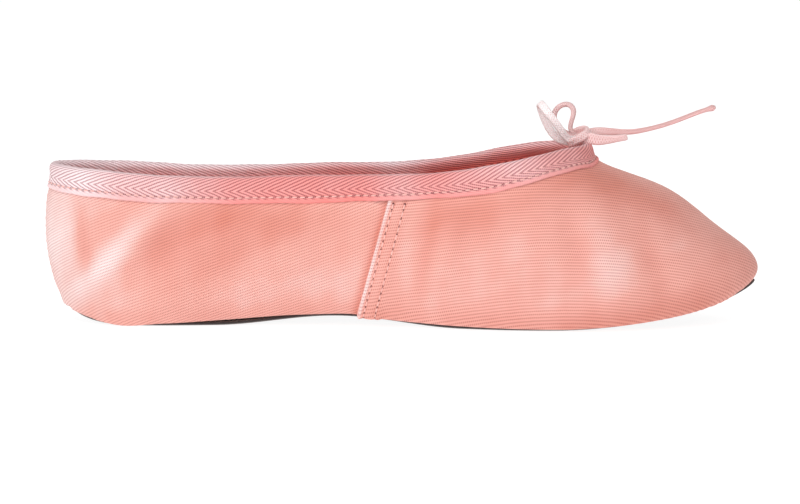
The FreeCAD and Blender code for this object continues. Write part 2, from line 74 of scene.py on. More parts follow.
HEEL = [(14.5, 0, 3.4), (7.3, 0, 6.7), (3.5, 0, 12.0), (1.4, 0, 20.0),
        (0.3, 0, 29.0), (0.5, 0, 37.5), (1.4, 0, 44.4), (3.6, 0, 51.3)]
HEEL_SIDE = [(26.0, 11.0, 1.9), (22.5, 17.9, 2.2), (20.5, 21.0, 8.0), (19.4, 22.3, 16.0),
             (18.8, 22.6, 25.4), (18.8, 21.8, 35.0), (19.2, 20.4, 42.8), (20.2, 18.4, 50.2)]
HIND = [(55.0, 12.0, 2.1), (55.0, 21.2, 2.4), (55.0, 24.7, 8.0), (55.0, 26.1, 16.0),
        (55.0, 26.4, 25.0), (55.0, 25.5, 34.0), (55.0, 24.2, 41.3), (55.0, 22.2, 48.3)]
WAIST = [(95.0, 11.0, 4.6), (95.0, 21.3, 4.6), (95.0, 25.2, 9.5), (95.0, 26.9, 18.0),
         (95.0, 27.2, 27.0), (95.0, 26.3, 35.3), (95.0, 25.0, 42.1), (95.0, 23.0, 49.0)]
SHANK = [(130.0, 15.0, 3.4), (130.0, 27.2, 3.3), (130.0, 31.4, 9.3), (129.5, 32.8, 18.2),
         (129.0, 32.2, 27.2), (128.0, 30.2, 35.6), (127.0, 28.2, 42.4), (126.0, 25.4, 49.6)]
BALL = [(166.0, 22.5, 2.3), (166.0, 34.0, 2.2), (165.0, 37.9, 9.0), (164.0, 38.2, 18.0),
        (162.0, 36.8, 27.5), (158.0, 34.2, 36.8), (154.5, 31.9, 45.6), (150.8, 29.6, 53.0)]
TOE_SIDE = [(206.0, 16.5, 5.0), (211.0, 26.2, 5.1), (212.5, 29.5, 11.5), (210.5, 29.5, 19.0),
            (205.0, 27.8, 28.0), (194.0, 25.2, 39.5), (178.5, 21.4, 50.8), (172.6, 20.0, 57.0)]
TOE_CORNER = [(219.5, 9.5, 7.5), (227.0, 15.8, 8.8), (230.2, 18.8, 14.0), (228.2, 18.7, 20.8),
              (218.4, 16.9, 30.2), (203.2, 14.4, 42.8), (183.4, 12.0, 52.3), (179.8, 11.0, 57.6)]
TOE = [(227.5, 0, 9.5), (235.4, 0, 12.7), (239.2, 0, 17.0), (236.9, 0, 22.6),
       (225.2, 0, 31.6), (207.0, 0, 44.5), (185.4, 0, 53.2), (182.4, 0, 57.8)]
PROFILES = (HEEL, HEEL_SIDE, HIND, WAIST, SHANK, BALL, TOE_SIDE, TOE_CORNER, TOE)
STATIONS = (0.0, 27.0, 64.0, 106.0, 140.0, 176.0, 224.0, 245.0, 266.0)
LEVELS = len(HEEL)
BINDING_LINE, RIM = 6.0, 7.0

HEEL_TREAD = (36.0, 58.0)
BALL_TREAD = (140.0, 172.0)
HEEL_LIFT, ARCH_LIFT, TOE_LIFT, TIP_LIFT = 6.2, 2.8, 8.4, 3.9
SOLE_ENDS = (5.8, 239.3)
SOLE_OUTLINE = [(5.8, 0), (8.2, 7.6), (16.0, 14.6), (28.0, 18.3), (45.0, 19.0), (62.0, 17.7), (80.0, 15.8),
                (98.0, 15.6), (118.0, 19.8), (138.0, 26.0), (158.0, 30.2), (178.0, 30.2), (198.0, 26.6),
                (213.0, 21.4), (225.0, 14.6), (233.6, 8.0), (238.0, 3.7), (239.3, 0)]

# Routes of the bow's cords: x from the heel, y and z, as in the CAD model.
LOOP_NEAR = [(175.7, -2.6, 60.6), (174.0, -4.2, 62.8), (172.0, -5.5, 65.7), (169.9, -6.3, 68.6),
             (168.1, -6.1, 70.8), (166.9, -4.8, 72.4), (166.3, -2.7, 73.0), (166.4, -0.7, 72.1),
             (167.0, 0.2, 70.1), (168.0, -0.1, 67.4), (169.4, -1.0, 64.4), (171.3, -1.8, 61.8),
             (174.4, -2.0, 60.0)]
LOOP_FAR = [(176.6, 2.2, 63.8), (177.1, 3.1, 66.1), (177.9, 4.2, 68.4), (178.1, 5.7, 70.4),
            (176.8, 7.1, 71.9), (174.6, 7.6, 71.9), (172.5, 6.9, 70.6), (171.4, 5.7, 68.6),
            (171.6, 4.5, 66.3), (173.0, 3.5, 64.2), (175.4, 2.8, 62.6)]
TAIL_SHORT = [(182.8, -2.4, 61.3), (185.4, -3.6, 60.7), (188.6, -4.4, 60.8), (192.0, -5.2, 61.3),
              (195.4, -5.6, 61.9)]
TAIL_LONG = [(182.4, 1.9, 62.9), (186.4, 2.9, 63.3), (191.4, 3.5, 62.9), (197.4, 3.7, 62.7),
             (203.4, 3.6, 63.8), (209.6, 3.4, 65.5), (215.6, 3.0, 67.8), (221.0, 2.7, 70.0),
             (225.6, 2.3, 71.3)]


# -------------------------------------------------------- splines on arrays
def smooth(t):
    t = np.clip(t, 0.0, 1.0)
    return t * t * (3 - 2 * t)


def hill(t):
    return np.exp(-t * t)


def unit(vectors):
    return vectors / np.linalg.norm(vectors, axis=-1, keepdims=True)


def distances(line):
    """How far each point of a line is from its first, along the line."""
    return np.concatenate([[0], np.cumsum(np.linalg.norm(np.diff(line, axis=0), axis=1))])


def bisect(low, high, is_before):
    """The places between low and high where is_before turns from true to false."""
    for _ in range(24):
        middle = (low + high) / 2
        before = is_before(middle)
        low, high = np.where(before, middle, low), np.where(before, high, middle)
    return (low + high) / 2


def closed_cubic(knots, points):
    """A closed cubic spline with period 1 through the points; the result takes an array of positions."""
    knots, points = np.array(knots), np.array(points, float)
    n = len(points)
    steps = np.diff(np.append(knots, knots[0] + 1))
    rows, right = np.zeros((n, n)), np.zeros((n, 3))
    for i in range(n):
        before, after = steps[i - 1], steps[i]
        rows[i, i - 1] += before
        rows[i, i] += 2 * (before + after)
        rows[i, (i + 1) % n] += after
        right[i] = 6 * ((points[(i + 1) % n] - points[i]) / after - (points[i] - points[i - 1]) / before)
    bend = np.linalg.solve(rows, right)

    def at(u):
        u = np.mod(u, 1.0)
        i = np.clip(np.searchsorted(knots, u, side="right") - 1, 0, n - 1)
        j, h = (i + 1) % n, steps[i]
        b = (u - knots[i]) / h
        a = 1 - b
        curl = (a ** 3 - a)[:, None] * bend[i] + (b ** 3 - b)[:, None] * bend[j]
        return a[:, None] * points[i] + b[:, None] * points[j] + curl * (h * h / 6)[:, None]

    return at


def level_curves():
    half = STATIONS[-1]
    knots = [s / (2 * half) for s in STATIONS] + [1 - s / (2 * half) for s in STATIONS[-2:0:-1]]
    curves = []
    for level in range(LEVELS):
        right_side = [(p[level][0] - MIDDLE, -p[level][1], p[level][2]) for p in PROFILES]
        left_side = [(x, -y, z) for x, y, z in right_side[-2:0:-1]]
        curves.append(closed_cubic(knots, right_side + left_side))
    return curves


CURVES = level_curves()


def sole_height(x):
    """Height of the sole's lower face, x being measured from the heel."""
    heel = HEEL_LIFT * np.clip((HEEL_TREAD[0] - x) / (HEEL_TREAD[0] - SOLE_ENDS[0]), 0, 1.2) ** 3.4
    arch = np.clip((x - HEEL_TREAD[1]) / (BALL_TREAD[0] - HEEL_TREAD[1]), 0, 1)
    toe = np.clip((x - BALL_TREAD[1]) / (SOLE_ENDS[1] - BALL_TREAD[1]), 0, 1.1)
    return heel + ARCH_LIFT * np.sin(math.pi * arch) ** 2 + TOE_LIFT * toe ** 1.7 + TIP_LIFT * toe ** 6


def on_last(u, w):
    """Points of the reference surface in millimetres, for arrays of girth positions and levels."""
    shape = np.shape(u)
    u, w = np.ravel(u), np.ravel(w)
    points = np.stack([curve(u) for curve in CURVES], 1)
    steps = np.sqrt(np.linalg.norm(np.diff(points, axis=1), axis=2))
    slope = np.diff(points, axis=1) / steps[:, :, None]
    n = LEVELS
    bend = np.zeros_like(points)
    upper = np.zeros((len(u), n))
    for i in range(1, n - 1):                     # tridiagonal elimination, all profiles at once
        pivot = 2 * (steps[:, i - 1] + steps[:, i]) - steps[:, i - 1] * upper[:, i - 1]
        upper[:, i] = steps[:, i] / pivot
        rise = 6 * (slope[:, i] - slope[:, i - 1])
        bend[:, i] = (rise - steps[:, i - 1, None] * bend[:, i - 1]) / pivot[:, None]
    for i in range(n - 2, 0, -1):
        bend[:, i] -= upper[:, i, None] * bend[:, i + 1]
    i = np.clip(w.astype(int), 0, n - 2)
    k = np.arange(len(u))
    h = steps[k, i][:, None]
    b = (w - i)[:, None]
    a = 1 - b
    curl = (a ** 3 - a) * bend[k, i] + (b ** 3 - b) * bend[k, i + 1]
    p = a * points[k, i] + b * points[k, i + 1] + curl * h * h / 6
    under_vamp = smooth((p[:, 0] + MIDDLE - SEAM_LOW[0] + 18.0) / 16.0)
    bed = sole_height(p[:, 0] + MIDDLE) + SOLE + BED_GAP + (CANVAS + GAP) * under_vamp
    above = (p[:, 2] - bed) * (0.35 + 0.65 * smooth(w / 1.3))
    p[:, 2] = bed + (above + np.hypot(above, BED_EASE)) / 2
    return p.reshape(shape + (3,))


def directions(u, w):
    """Unit vectors out of the surface and up along it."""
    du, dw = 0.0008, 0.02
    along = on_last(u + du, w) - on_last(u - du, w)
    up = on_last(u, np.minimum(w + dw, RIM)) - on_last(u, np.maximum(w - dw, 0.0))
    return unit(np.cross(along, up)), unit(up)


def surface(u, w):
    """Points of the last and the directions out of it."""
    return on_last(u, w), directions(u, w)[0]


def off_last(u, w, d):
    p, out = surface(u, w)
    return p + out * np.asarray(d)[..., None]


def level_below_rim(u, down):
    """The level that lies that many millimetres below the rim along each profile."""
    u, down = np.broadcast_arrays(np.asarray(u, float), down)
    top = np.full(u.shape, RIM)
    rim = on_last(u, top)
    return bisect(np.full(u.shape, BINDING_LINE - 1), top,
                  lambda w: np.linalg.norm(on_last(u, w) - rim, axis=-1) > down)


def seam_u(w, shift=0.0):
    """Girth position of the right side seam at each level, moved forward by shift."""
    w = np.asarray(w, float)

    def behind(u):
        p = on_last(u, w)
        share = (p[..., 2] - SEAM_LOW[1]) / (SEAM_HIGH[1] - SEAM_LOW[1])
        return p[..., 0] < SEAM_LOW[0] + share * (SEAM_HIGH[0] - SEAM_LOW[0]) - MIDDLE + shift

    return bisect(np.full(w.shape, 0.1), np.full(w.shape, 0.45), behind)


SEAM_AT_RIM = float(seam_u(np.array(BINDING_LINE + 0.5)))
_ends = on_last(np.array([SEAM_AT_RIM - 0.05, SEAM_AT_RIM + 0.05]), np.full(2, BINDING_LINE))
PER_MM = 0.1 / float(np.linalg.norm(_ends[1] - _ends[0]))


def from_heel(u):
    """Share of the girth from the heel, by the shorter way: 0 at the heel, 0.5 at the toe."""
    u = np.mod(u, 1.0)
    return np.minimum(u, 1 - u)


def ahead_of_seam(u):
    """Millimetres in front of the side seam at the binding, on either side."""
    return (from_heel(u) - SEAM_AT_RIM) / PER_MM


def binding_drop(u):
    """How far the binding reaches below the rim outside: less towards the throat."""
    trim, reach = THROAT_TRIM
    return BINDING_DROP - trim * smooth(1 - (0.5 - from_heel(u)) / PER_MM / reach)


def outer_face(u):
    return (CANVAS + GAP) * smooth((ahead_of_seam(u) + 7.5) / 6.0)


def inner_face(u):
    deep = CANVAS + GAP + LINING
    return deep + (LINING - deep) * smooth((ahead_of_seam(u) - SEAM_LAP - 2.0) / 6.0)


# -------------------------------------------------------- mesh building
def grid_faces(rows, columns, first=0, flip=False):
    i, j = np.meshgrid(np.arange(rows - 1), np.arange(columns - 1), indexing="ij")
    a = (first + i * columns + j).ravel()
    quads = np.stack([a, a + columns, a + columns + 1, a + 1], 1)
    return quads[:, ::-1] if flip else quads


def mesh_object(name, points, faces, uv=None, smooth_shade=True, tone=None):
    """A mesh from points in millimetres, with the cloth's map in millimetres and its tone at each point."""
    mesh = bpy.data.meshes.new(name)
    points = np.asarray(points).reshape(-1, 3) * MM
    if isinstance(faces, np.ndarray):
        mesh.vertices.add(len(points))
        mesh.vertices.foreach_set("co", points.ravel())
        mesh.loops.add(faces.size)
        mesh.loops.foreach_set("vertex_index", faces.ravel())
        mesh.polygons.add(len(faces))
        mesh.polygons.foreach_set("loop_start", np.arange(len(faces)) * faces.shape[1])
        mesh.update(calc_edges=True)
    else:
        mesh.from_pydata(points.tolist(), [], [tuple(map(int, f)) for f in faces])
    if uv is not None:
        layer = mesh.uv_layers.new(name="cloth")
        loops = np.zeros(len(mesh.loops), int)
        mesh.loops.foreach_get("vertex_index", loops)
        layer.data.foreach_set("uv", (np.asarray(uv).reshape(-1, 2)[loops] * MM).ravel())
    if tone is not None:
        mesh.attributes.new("tone", "FLOAT", "POINT").data.foreach_set("value", tone.ravel())
    mesh.polygons.foreach_set("use_smooth", [smooth_shade] * len(mesh.polygons))
    mesh.update()
    obj = bpy.data.objects.new(name, mesh)
    bpy.context.scene.collection.objects.link(obj)
    return obj


def shell(name, outer, inner, uv, tone=None):
    """A closed ply of cloth between two grids of points."""
    rows, columns = outer.shape[:2]
    count = rows * columns
    faces = [grid_faces(rows, columns), grid_faces(rows, columns, count, flip=True)]
    first, last = np.arange(columns), (rows - 1) * columns + np.arange(columns)
    low, high = np.arange(rows) * columns, np.arange(rows) * columns + columns - 1
    for border, turn in ((first, False), (last, True), (low, True), (high, False)):
        strip = np.stack([border[:-1], border[1:], border[1:] + count, border[:-1] + count], 1)
        faces.append(strip[:, ::-1] if turn else strip)
    points = np.concatenate([outer.reshape(-1, 3), inner.reshape(-1, 3)])
    maps = np.concatenate([uv.reshape(-1, 2), uv.reshape(-1, 2)])
    tones = None if tone is None else np.concatenate([tone.ravel(), tone.ravel()])
    return mesh_object(name, points, np.concatenate(faces), maps, tone=tones)


def finish_piece(obj, body, material, slot, *nodes):
    obj.data.materials.append(material)
    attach(obj, body)
    if nodes:
        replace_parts(obj, *nodes)
    return obj


# -------------------------------------------------------- materials
class Nodes:
    """Short names for building a material's node tree."""

    def __init__(self, name):
        self.material = bpy.data.materials.new(name)
        self.material.use_nodes = True
        self.tree = self.material.node_tree
        self.shader = self.tree.nodes["Principled BSDF"]

    def node(self, kind, **settings):
        made = self.tree.nodes.new(kind)
        for key, value in settings.items():
            setattr(made, key, value)
        return made

    def link(self, a, b):
        self.tree.links.new(a, b)

    def math(self, operation, a, b=0.0, c=0.0):
        """A math node on values that are numbers or other nodes' outputs."""
        made = self.node("ShaderNodeMath", operation=operation)
        for socket, value in zip(made.inputs, (a, b, c)):
            if isinstance(value, (int, float)):
                socket.default_value = value
            else:
                self.link(value, socket)
        return made.outputs[0]

    def add(self, a, b):
        return self.math("ADD", a, b)

    def less(self, a, b):
        return self.math("SUBTRACT", a, b)

    def times(self, a, b, plus=0.0):
        return self.math("MULTIPLY_ADD", a, b, plus)

    def cloth_map(self):
        """The map's two values, in metres: along the threads and across them."""
        uv = self.node("ShaderNodeUVMap", uv_map="cloth")
        split = self.node("ShaderNodeSeparateXYZ")
        self.link(uv.outputs[0], split.inputs[0])
        return split.outputs[0], split.outputs[1]

    def wave(self, value, pitch):
        """A sine from 0 to 1 with that pitch in metres."""
        return self.times(self.math("SINE", self.times(value, 2 * math.pi / pitch)), 0.5, 0.5)

    def noise(self, scale, detail=3.0, rough=0.55):
        place = self.node("ShaderNodeTexCoord")
        made = self.node("ShaderNodeTexNoise")
        made.inputs["Scale"].default_value = scale
        made.inputs["Detail"].default_value = detail
        made.inputs["Roughness"].default_value = rough
        self.link(place.outputs["Object"], made.inputs["Vector"])
        return made.outputs["Fac"]

    def blend(self, share, dark, light, how="MIX"):
        made = self.node("ShaderNodeMix", data_type="RGBA", blend_type=how)
        self.link(share, made.inputs["Factor"])
        for socket, value in ((made.inputs[6], dark), (made.inputs[7], light)):
            if isinstance(value, tuple):
                socket.default_value = (*value, 1)
            else:
                self.link(value, socket)
        return made.outputs[2]

    def tone(self):
        """The tone at each point, the cloth's own tone with painted light and shade laid into it: 0 deep,
        0.5 common, 1 pale.
        """
        return self.node("ShaderNodeAttribute", attribute_name="tone").outputs["Fac"]

    def three(self, share, deep, common, pale):
        """The deep colour at 0, the common one at a half and the pale one at 1."""
        low = self.blend(self.spread(share, 0.0, 0.5), deep, common)
        return self.blend(self.spread(share, 0.5, 1.0), low, pale)

    def spread(self, value, low, high):
        """The value with low taken to 0 and high to 1, held between them."""
        made = self.node("ShaderNodeMapRange")
        made.inputs["From Min"].default_value = low
        made.inputs["From Max"].default_value = high
        self.link(value, made.inputs["Value"])
        return made.outputs[0]

    def finish(self, colour, height, depth, rough, sheen=0.25, tint=(1.0, 0.85, 0.8)):
        """Colour, relief in metres, roughness and the soft sheen of fibres."""
        self.link(colour, self.shader.inputs["Base Color"])
        if height is not None:
            bump = self.node("ShaderNodeBump")
            bump.inputs["Strength"].default_value = 1.0
            bump.inputs["Distance"].default_value = depth
            self.link(height, bump.inputs["Height"])
            self.link(bump.outputs[0], self.shader.inputs["Normal"])
        self.shader.inputs["Roughness"].default_value = rough
        self.shader.inputs["Specular IOR Level"].default_value = 0.25
        self.shader.inputs["Sheen Weight"].default_value = sheen
        self.shader.inputs["Sheen Roughness"].default_value = 0.5
        self.shader.inputs["Sheen Tint"].default_value = (*tint, 1)
        return self.material


def twill(name, deep, common, pale, gap):
    """Cotton twill: slanting ribs a millimetre apart, their gaps broken into dashes by crossing threads."""
    m = Nodes(name)
    along, across = m.cloth_map()
    wobble = m.times(m.noise(240.0, 2.0), 0.00022, across)
    rib = m.wave(wobble, RIB_PITCH)
    rib_number = m.math("FLOOR", m.less(m.math("DIVIDE", wobble, RIB_PITCH), 0.25))
    bead = m.wave(m.times(rib_number, 0.00027, along), 0.00064)
    open_gap = m.times(m.less(1.0, rib), m.times(bead, -0.75, 1.0))
    height = m.times(m.noise(FIBRES, 2.0), 0.2, m.less(1.0, open_gap))
    patches = m.times(m.noise(45.0, 4.0), 0.30, -0.15)
    cloth = m.three(m.add(m.tone(), patches), deep, common, pale)
    shade = m.times(m.spread(open_gap, 0.15, 0.85), 0.86)
    return m.finish(m.blend(shade, cloth, gap, "MULTIPLY"), height, 0.00011, 0.9)


def herringbone(name, deep, common, pale, gap):
    """Herringbone tape: ribs that turn back half way down, a sewn line and a plain selvedge, with painted
    shade along the sewn line and over the selvedge and a painted highlight along the top of the roll.
    """
    m = Nodes(name)
    along, across = m.cloth_map()
    fold = m.math("ABSOLUTE", m.less(across, APEX * MM))
    slant = m.times(m.noise(300.0, 2.0), 0.0003, m.add(m.times(along, 0.36), m.times(fold, -0.93)))
    bead = m.wave(m.times(fold, 0.35, along), 0.00062)
    plain = m.spread(across, (SELVEDGE - 0.15) * MM, (SELVEDGE + 0.15) * MM)
    rib = m.math("MAXIMUM", m.wave(slant, 0.00094), m.times(plain, 0.62))
    open_gap = m.times(m.less(1.0, rib), m.times(bead, -0.35, 1.0))
    # Painted shade along the pressed line of stitches.
    sewn = m.less(1.0, m.spread(m.math("ABSOLUTE", m.less(across, SEWN * MM)), 0.0001, 0.00045))
    height = m.times(m.noise(FIBRES, 2.0), 0.2, m.less(1.0, open_gap))
    # Painted highlight along the top of the rolled rim, inside and out.
    rim_highlight = m.times(m.less(1.0, m.spread(across, 0.0006, 0.0022)), 0.35)
    patches = m.times(m.noise(60.0, 3.0), 0.4, -0.2)
    # The plain selvedge is painted a little darker, as shade.
    tone = m.add(m.add(m.tone(), patches), m.times(plain, -0.12, rim_highlight))
    shade = m.math("MAXIMUM", m.spread(open_gap, 0.25, 0.9), m.times(sewn, 0.6))
    cloth = m.three(tone, deep, common, pale)
    return m.finish(m.blend(m.times(shade, 0.85), cloth, gap, "MULTIPLY"), height, 0.0002, 0.87, 0.1)


def plain_weave(name, dark, light, pitch=0.0006):
    m = Nodes(name)
    along, across = m.cloth_map()
    weave = m.times(m.wave(along, pitch), m.wave(across, pitch))
    height = m.times(m.noise(900.0, 2.0), 0.5, weave)
    share = m.times(m.noise(40.0, 3.0), 0.5, m.times(height, 0.5))
    return m.finish(m.blend(share, dark, light), height, 0.00006, 0.9)


def braid(name, deep, common, pale):
    """Tubular cotton braid: the map runs along the cord and round it."""
    m = Nodes(name)
    along, across = m.cloth_map()
    slant = m.times(across, 0.9)
    crossing = m.math("MAXIMUM", m.wave(m.add(along, slant), 0.0009), m.wave(m.less(along, slant), 0.0009))
    height = m.times(m.noise(FIBRES, 2.0), 0.3, crossing)
    share = m.times(m.spread(height, 0.0, 1.2), 0.8, m.less(m.tone(), 0.60))
    return m.finish(m.three(share, deep, common, pale), height, 0.00015, 0.8, 0.2)


def speckled(name, dark, light, scale, relief, rough=0.9, sheen=0.3):
    """A plain surface of fine grain, such as suede, felt or spun thread."""
    m = Nodes(name)
    grain = m.noise(scale, 5.0, 0.7)
    share = m.times(m.noise(scale / 28, 3.0), 0.6, m.times(grain, 0.5))
    return m.finish(m.blend(share, dark, light), grain, relief, rough, sheen)


RIB_PITCH = 0.00096          # of the canvas's twill, in metres
FIBRES = 2600.0              # noise scale of loose cotton fibres
APEX, SELVEDGE, SEWN = 6.2, 9.0, 8.35      # places across the binding, down from the top of its roll

CANVAS_CLOTH = twill("canvas", deep=(0.68, 0.225, 0.165), common=(0.84, 0.415, 0.355),
                     pale=(0.94, 0.78, 0.77), gap=(0.60, 0.42, 0.42))
LINING_CLOTH = plain_weave("lining", (0.80, 0.17, 0.12), (0.98, 0.36, 0.29))
TAPE_CLOTH = herringbone("tape", deep=(0.86, 0.19, 0.16), common=(0.87, 0.42, 0.41),
                         pale=(0.97, 0.80, 0.82), gap=(0.36, 0.17, 0.19))
CORD_CLOTH = braid("cord", (0.66, 0.28, 0.27), (0.90, 0.60, 0.59), (1.0, 0.90, 0.90))
CORD_PLAIN = speckled("cord_plain", (0.70, 0.34, 0.31), (0.98, 0.66, 0.62), 900.0, 0.00015)
THREAD = speckled("thread", (0.72, 0.34, 0.31), (0.95, 0.62, 0.56), 1500.0, 0.00006)
SOLE_THREAD = speckled("sole_thread", (0.10, 0.09, 0.09), (0.22, 0.20, 0.20), 1500.0, 0.00006)
# Near-black material of the needle holes: painted shade.
HOLE_SHADE = speckled("needle_hole_shade", (0.10, 0.03, 0.03), (0.22, 0.07, 0.07), 900.0, 0.00002, 1.0, 0.0)
SUEDE = speckled("suede", (0.022, 0.020, 0.021), (0.060, 0.055, 0.056), 1300.0, 0.00025, 0.95, 0.5)
BOARD_FIBRE = speckled("board", (0.30, 0.20, 0.13), (0.45, 0.32, 0.22), 700.0, 0.0001)
FOAM_FELT = speckled("foam", (0.60, 0.54, 0.47), (0.78, 0.73, 0.66), 800.0, 0.0002)
SOCK_CLOTH = plain_weave("sock", (0.68, 0.36, 0.29), (0.86, 0.54, 0.46), 0.0008)


# -------------------------------------------------------- the cloth's own unevenness
def waves(p, size, seed):
    """A smooth uneven field from -1 to 1 over points, with features of that size in millimetres."""
    random = np.random.default_rng(seed)
    total = np.zeros(p.shape[:-1])
    for _ in range(6):
        direction = random.normal(size=3)
        direction = unit(direction)
        pitch = 2 * math.pi / size * random.uniform(0.7, 1.4)
        total += np.sin(p @ direction * pitch + random.uniform(0, 7))
    return total / 4


# Soft folds and dents of the near and far side: x from the heel, z, direction in degrees from +X,
# half length, half width and height, all in millimetres. The near side is the wearer's right.
FOLDS_NEAR = [(27.0, 25.0, 42.0, 24.0, 4.0, 1.2), (40.0, 23.0, 42.0, 22.0, 7.0, -1.7),
              (12.0, 30.0, 90.0, 14.0, 4.0, -0.4), (70.0, 18.0, 20.0, 30.0, 9.0, 0.8),
              (96.0, 27.0, 70.0, 16.0, 6.0, -0.8), (127.0, 30.0, 78.0, 18.0, 4.0, -0.8),
              (135.0, 28.0, 82.0, 20.0, 4.0, 0.7), (143.0, 30.0, 80.0, 16.0, 4.0, -0.5),
              (156.0, 33.0, 60.0, 14.0, 6.0, -0.7), (176.0, 30.0, 100.0, 16.0, 5.0, -0.8),
              (187.0, 22.0, 105.0, 18.0, 7.0, 0.9), (201.0, 24.0, 115.0, 14.0, 5.0, -0.7)]
FOLDS_FAR = [(33.0, 24.0, 50.0, 20.0, 6.0, 0.9), (48.0, 26.0, 60.0, 18.0, 7.0, -1.1),
             (84.0, 24.0, 30.0, 24.0, 9.0, 0.6), (132.0, 30.0, 80.0, 18.0, 5.0, -0.8),
             (146.0, 26.0, 75.0, 18.0, 6.0, 0.6), (182.0, 28.0, 105.0, 18.0, 7.0, -0.7)]

# Painted light and shade on the canvas of both sides, laid out like the folds: paler where folds and the
# heel face the lights, darker in hollows, low down and over the top of the toe.
CANVAS_LIGHT_AND_SHADE = [(25.0, 24.0, 46.0, 21.0, 4.4, 0.46), (5.0, 30.0, 90.0, 26.0, 9.0, 0.36),
         (14.5, 30.0, 95.0, 11.0, 3.0, -0.24),
         (50.0, 32.0, 25.0, 22.0, 8.0, -0.30), (80.0, 36.0, 0.0, 26.0, 7.0, -0.20),
         (58.0, 10.0, 5.0, 34.0, 6.0, 0.06), (66.0, 25.0, 28.0, 24.0, 6.0, -0.20),
         (96.0, 16.0, 10.0, 18.0, 8.0, 0.06), (122.0, 26.0, 85.0, 20.0, 3.0, 0.10),
         (129.0, 30.0, 80.0, 18.0, 3.0, -0.20), (146.0, 40.0, 18.0, 26.0, 8.0, -0.26),
         (187.0, 20.0, 80.0, 12.0, 10.0, 0.14), (177.0, 30.0, 100.0, 16.0, 4.0, -0.10),
         (110.0, 3.0, 0.0, 90.0, 5.0, -0.14),
         (201.0, 22.0, 110.0, 16.0, 4.5, -0.16), (190.0, 46.0, -22.0, 26.0, 6.0, -0.40),
         (230.0, 20.0, 60.0, 24.0, 12.0, -0.14), (200.0, 4.0, 8.0, 40.0, 7.0, -0.30)]


def streaks(p, rows):
    """A field over points of the surface, summed from soft streaks given like the folds."""
    total = np.zeros(p.shape[:-1])
    for x, z, turn, length, width, height in rows:
        c, s = math.cos(math.radians(turn)), math.sin(math.radians(turn))
        dx, dz = p[..., 0] + MIDDLE - x, p[..., 2] - z
        total += height * hill((dx * c + dz * s) / length) * hill((dz * c - dx * s) / width)
    return total


# The canvas's tone: the painted light and shade of the table above, with a little random unevenness of
# tone.
def tone_with_painted_light(p):
    return 0.5 + streaks(p, CANVAS_LIGHT_AND_SHADE) + 0.05 * waves(p, 22.0, 31) + 0.03 * waves(p, 8.0, 32)


def unevenness(p):
    """Height of the cloth's soft folds, dents and hand-sewn waviness at points of the surface."""
    total = 0.26 * waves(p, 46.0, 3) + 0.11 * waves(p, 17.0, 5) + 0.035 * waves(p, 7.0, 8)
    for folds, side in ((FOLDS_NEAR, p[..., 1] < 0), (FOLDS_FAR, p[..., 1] >= 0)):
        total = total + smooth(np.abs(p[..., 1]) / 8.0) * side * streaks(p, folds)
    return total


# How the cloth lies over the edge of the sole: how far the sole's heel end is drawn in under it, how far it
# bulges there, and how deep it sags along the side, more at the heel and less under the arch.
HEEL_TUCK, HEEL_BULGE = 1.0, 1.1
SAG, HEEL_SAG, ARCH_SAG = 0.5, 1.0, -0.5
SOLE_LEVEL = 1.0             # the level of the last that stands at the sole's edge


def tucked_outline():
    """The sole's outline, with its heel end drawn in under the cloth."""
    return [(x + HEEL_TUCK * float(smooth((30 - x) / 24)), y) for x, y in SOLE_OUTLINE]


def over_the_edge(p, w):
    """How the cloth moves to cover the edge of the sole, where it stands outside it."""
    xs, ys = np.array(tucked_outline()).T
    x = p[..., 0] + MIDDLE
    outside = np.maximum(np.abs(p[..., 1]) - np.interp(x, xs, ys), xs[0] - x) + 1.3 * smooth((27 - x) / 8)
    depth = SAG + HEEL_SAG * smooth((42 - x) / 16) + ARCH_SAG * hill((x - 66) / 30)
    before_toe_tip = smooth((LENGTH - 6 - x) / 8)
    sag = depth * hill((w - SOLE_LEVEL) / 0.26) * smooth((outside - 0.2) / 1.2) * before_toe_tip
    bulge = HEEL_BULGE * hill((w - SOLE_LEVEL) / 0.5) * smooth((22 - x) / 16)
    return np.stack([-bulge, 0 * sag, -sag], -1)


def held_at_edges(w, u):
    """1 on the open wall, falling to 0 at the sole and under the binding."""
    top = level_below_rim(u, binding_drop(u))
    return smooth((w - 1.0) / 1.2) * smooth((top - w) / 0.5)


PLEATS = 150.0               # round the whole slipper


def gathers(u, w):
    """Pleats of the lasting margin under the toe and the heel."""
    toe, heel = hill((from_heel(u) - 0.5) / 0.055), hill(from_heel(u) / 0.030)
    turn = 2 * math.pi * u
    ripple = np.sin(turn * PLEATS + 1.5 * np.sin(turn * 37)) * smooth((1.9 - w) / 1.3)
    return ripple * (0.3 * toe + 0.15 * heel)


def relief(u, w, p, side=1):
    """All that moves the upper's cloth off the smooth last surface, with the last mirrored for side -1."""
    if side < 0:
        u, p = 1 - u, p * mirror(side)
    return unevenness(p) * held_at_edges(w, u) + gathers(u, w)


def mirror(side):
    """What turns points of the right side into those of the side: 1 right, -1 left."""
    return np.array([1, side, 1])


def rounded(e, size):
    """A quarter round that rises from 0 at an edge to 1 at that distance from it."""
    t = np.clip(e / size, 0.0, 1.0)
    return np.sqrt(np.clip(1 - (1 - t) ** 2, 0.0, 1.0))


def groove(e, place, width):
    return hill((e - place) / width)


def stitch_wave(s):
    """A wave from -1 to 1 along a seam, one to each stitch."""
    return np.cos(2 * math.pi * s / STITCH_PITCH)


# -------------------------------------------------------- the map of the twill
def twill_of_vamp(p):
    """Where the vamp's cloth lies on the loom: its ribs run level, with a slight drift towards the toe."""
    x = p[..., 0] + MIDDLE
    drift = -0.087 * (x - 150) + 0.00175 * np.maximum(0.0, x - 150) ** 2
    return np.stack([x, p[..., 2] - 0.25 * np.abs(p[..., 1]) + drift], -1)


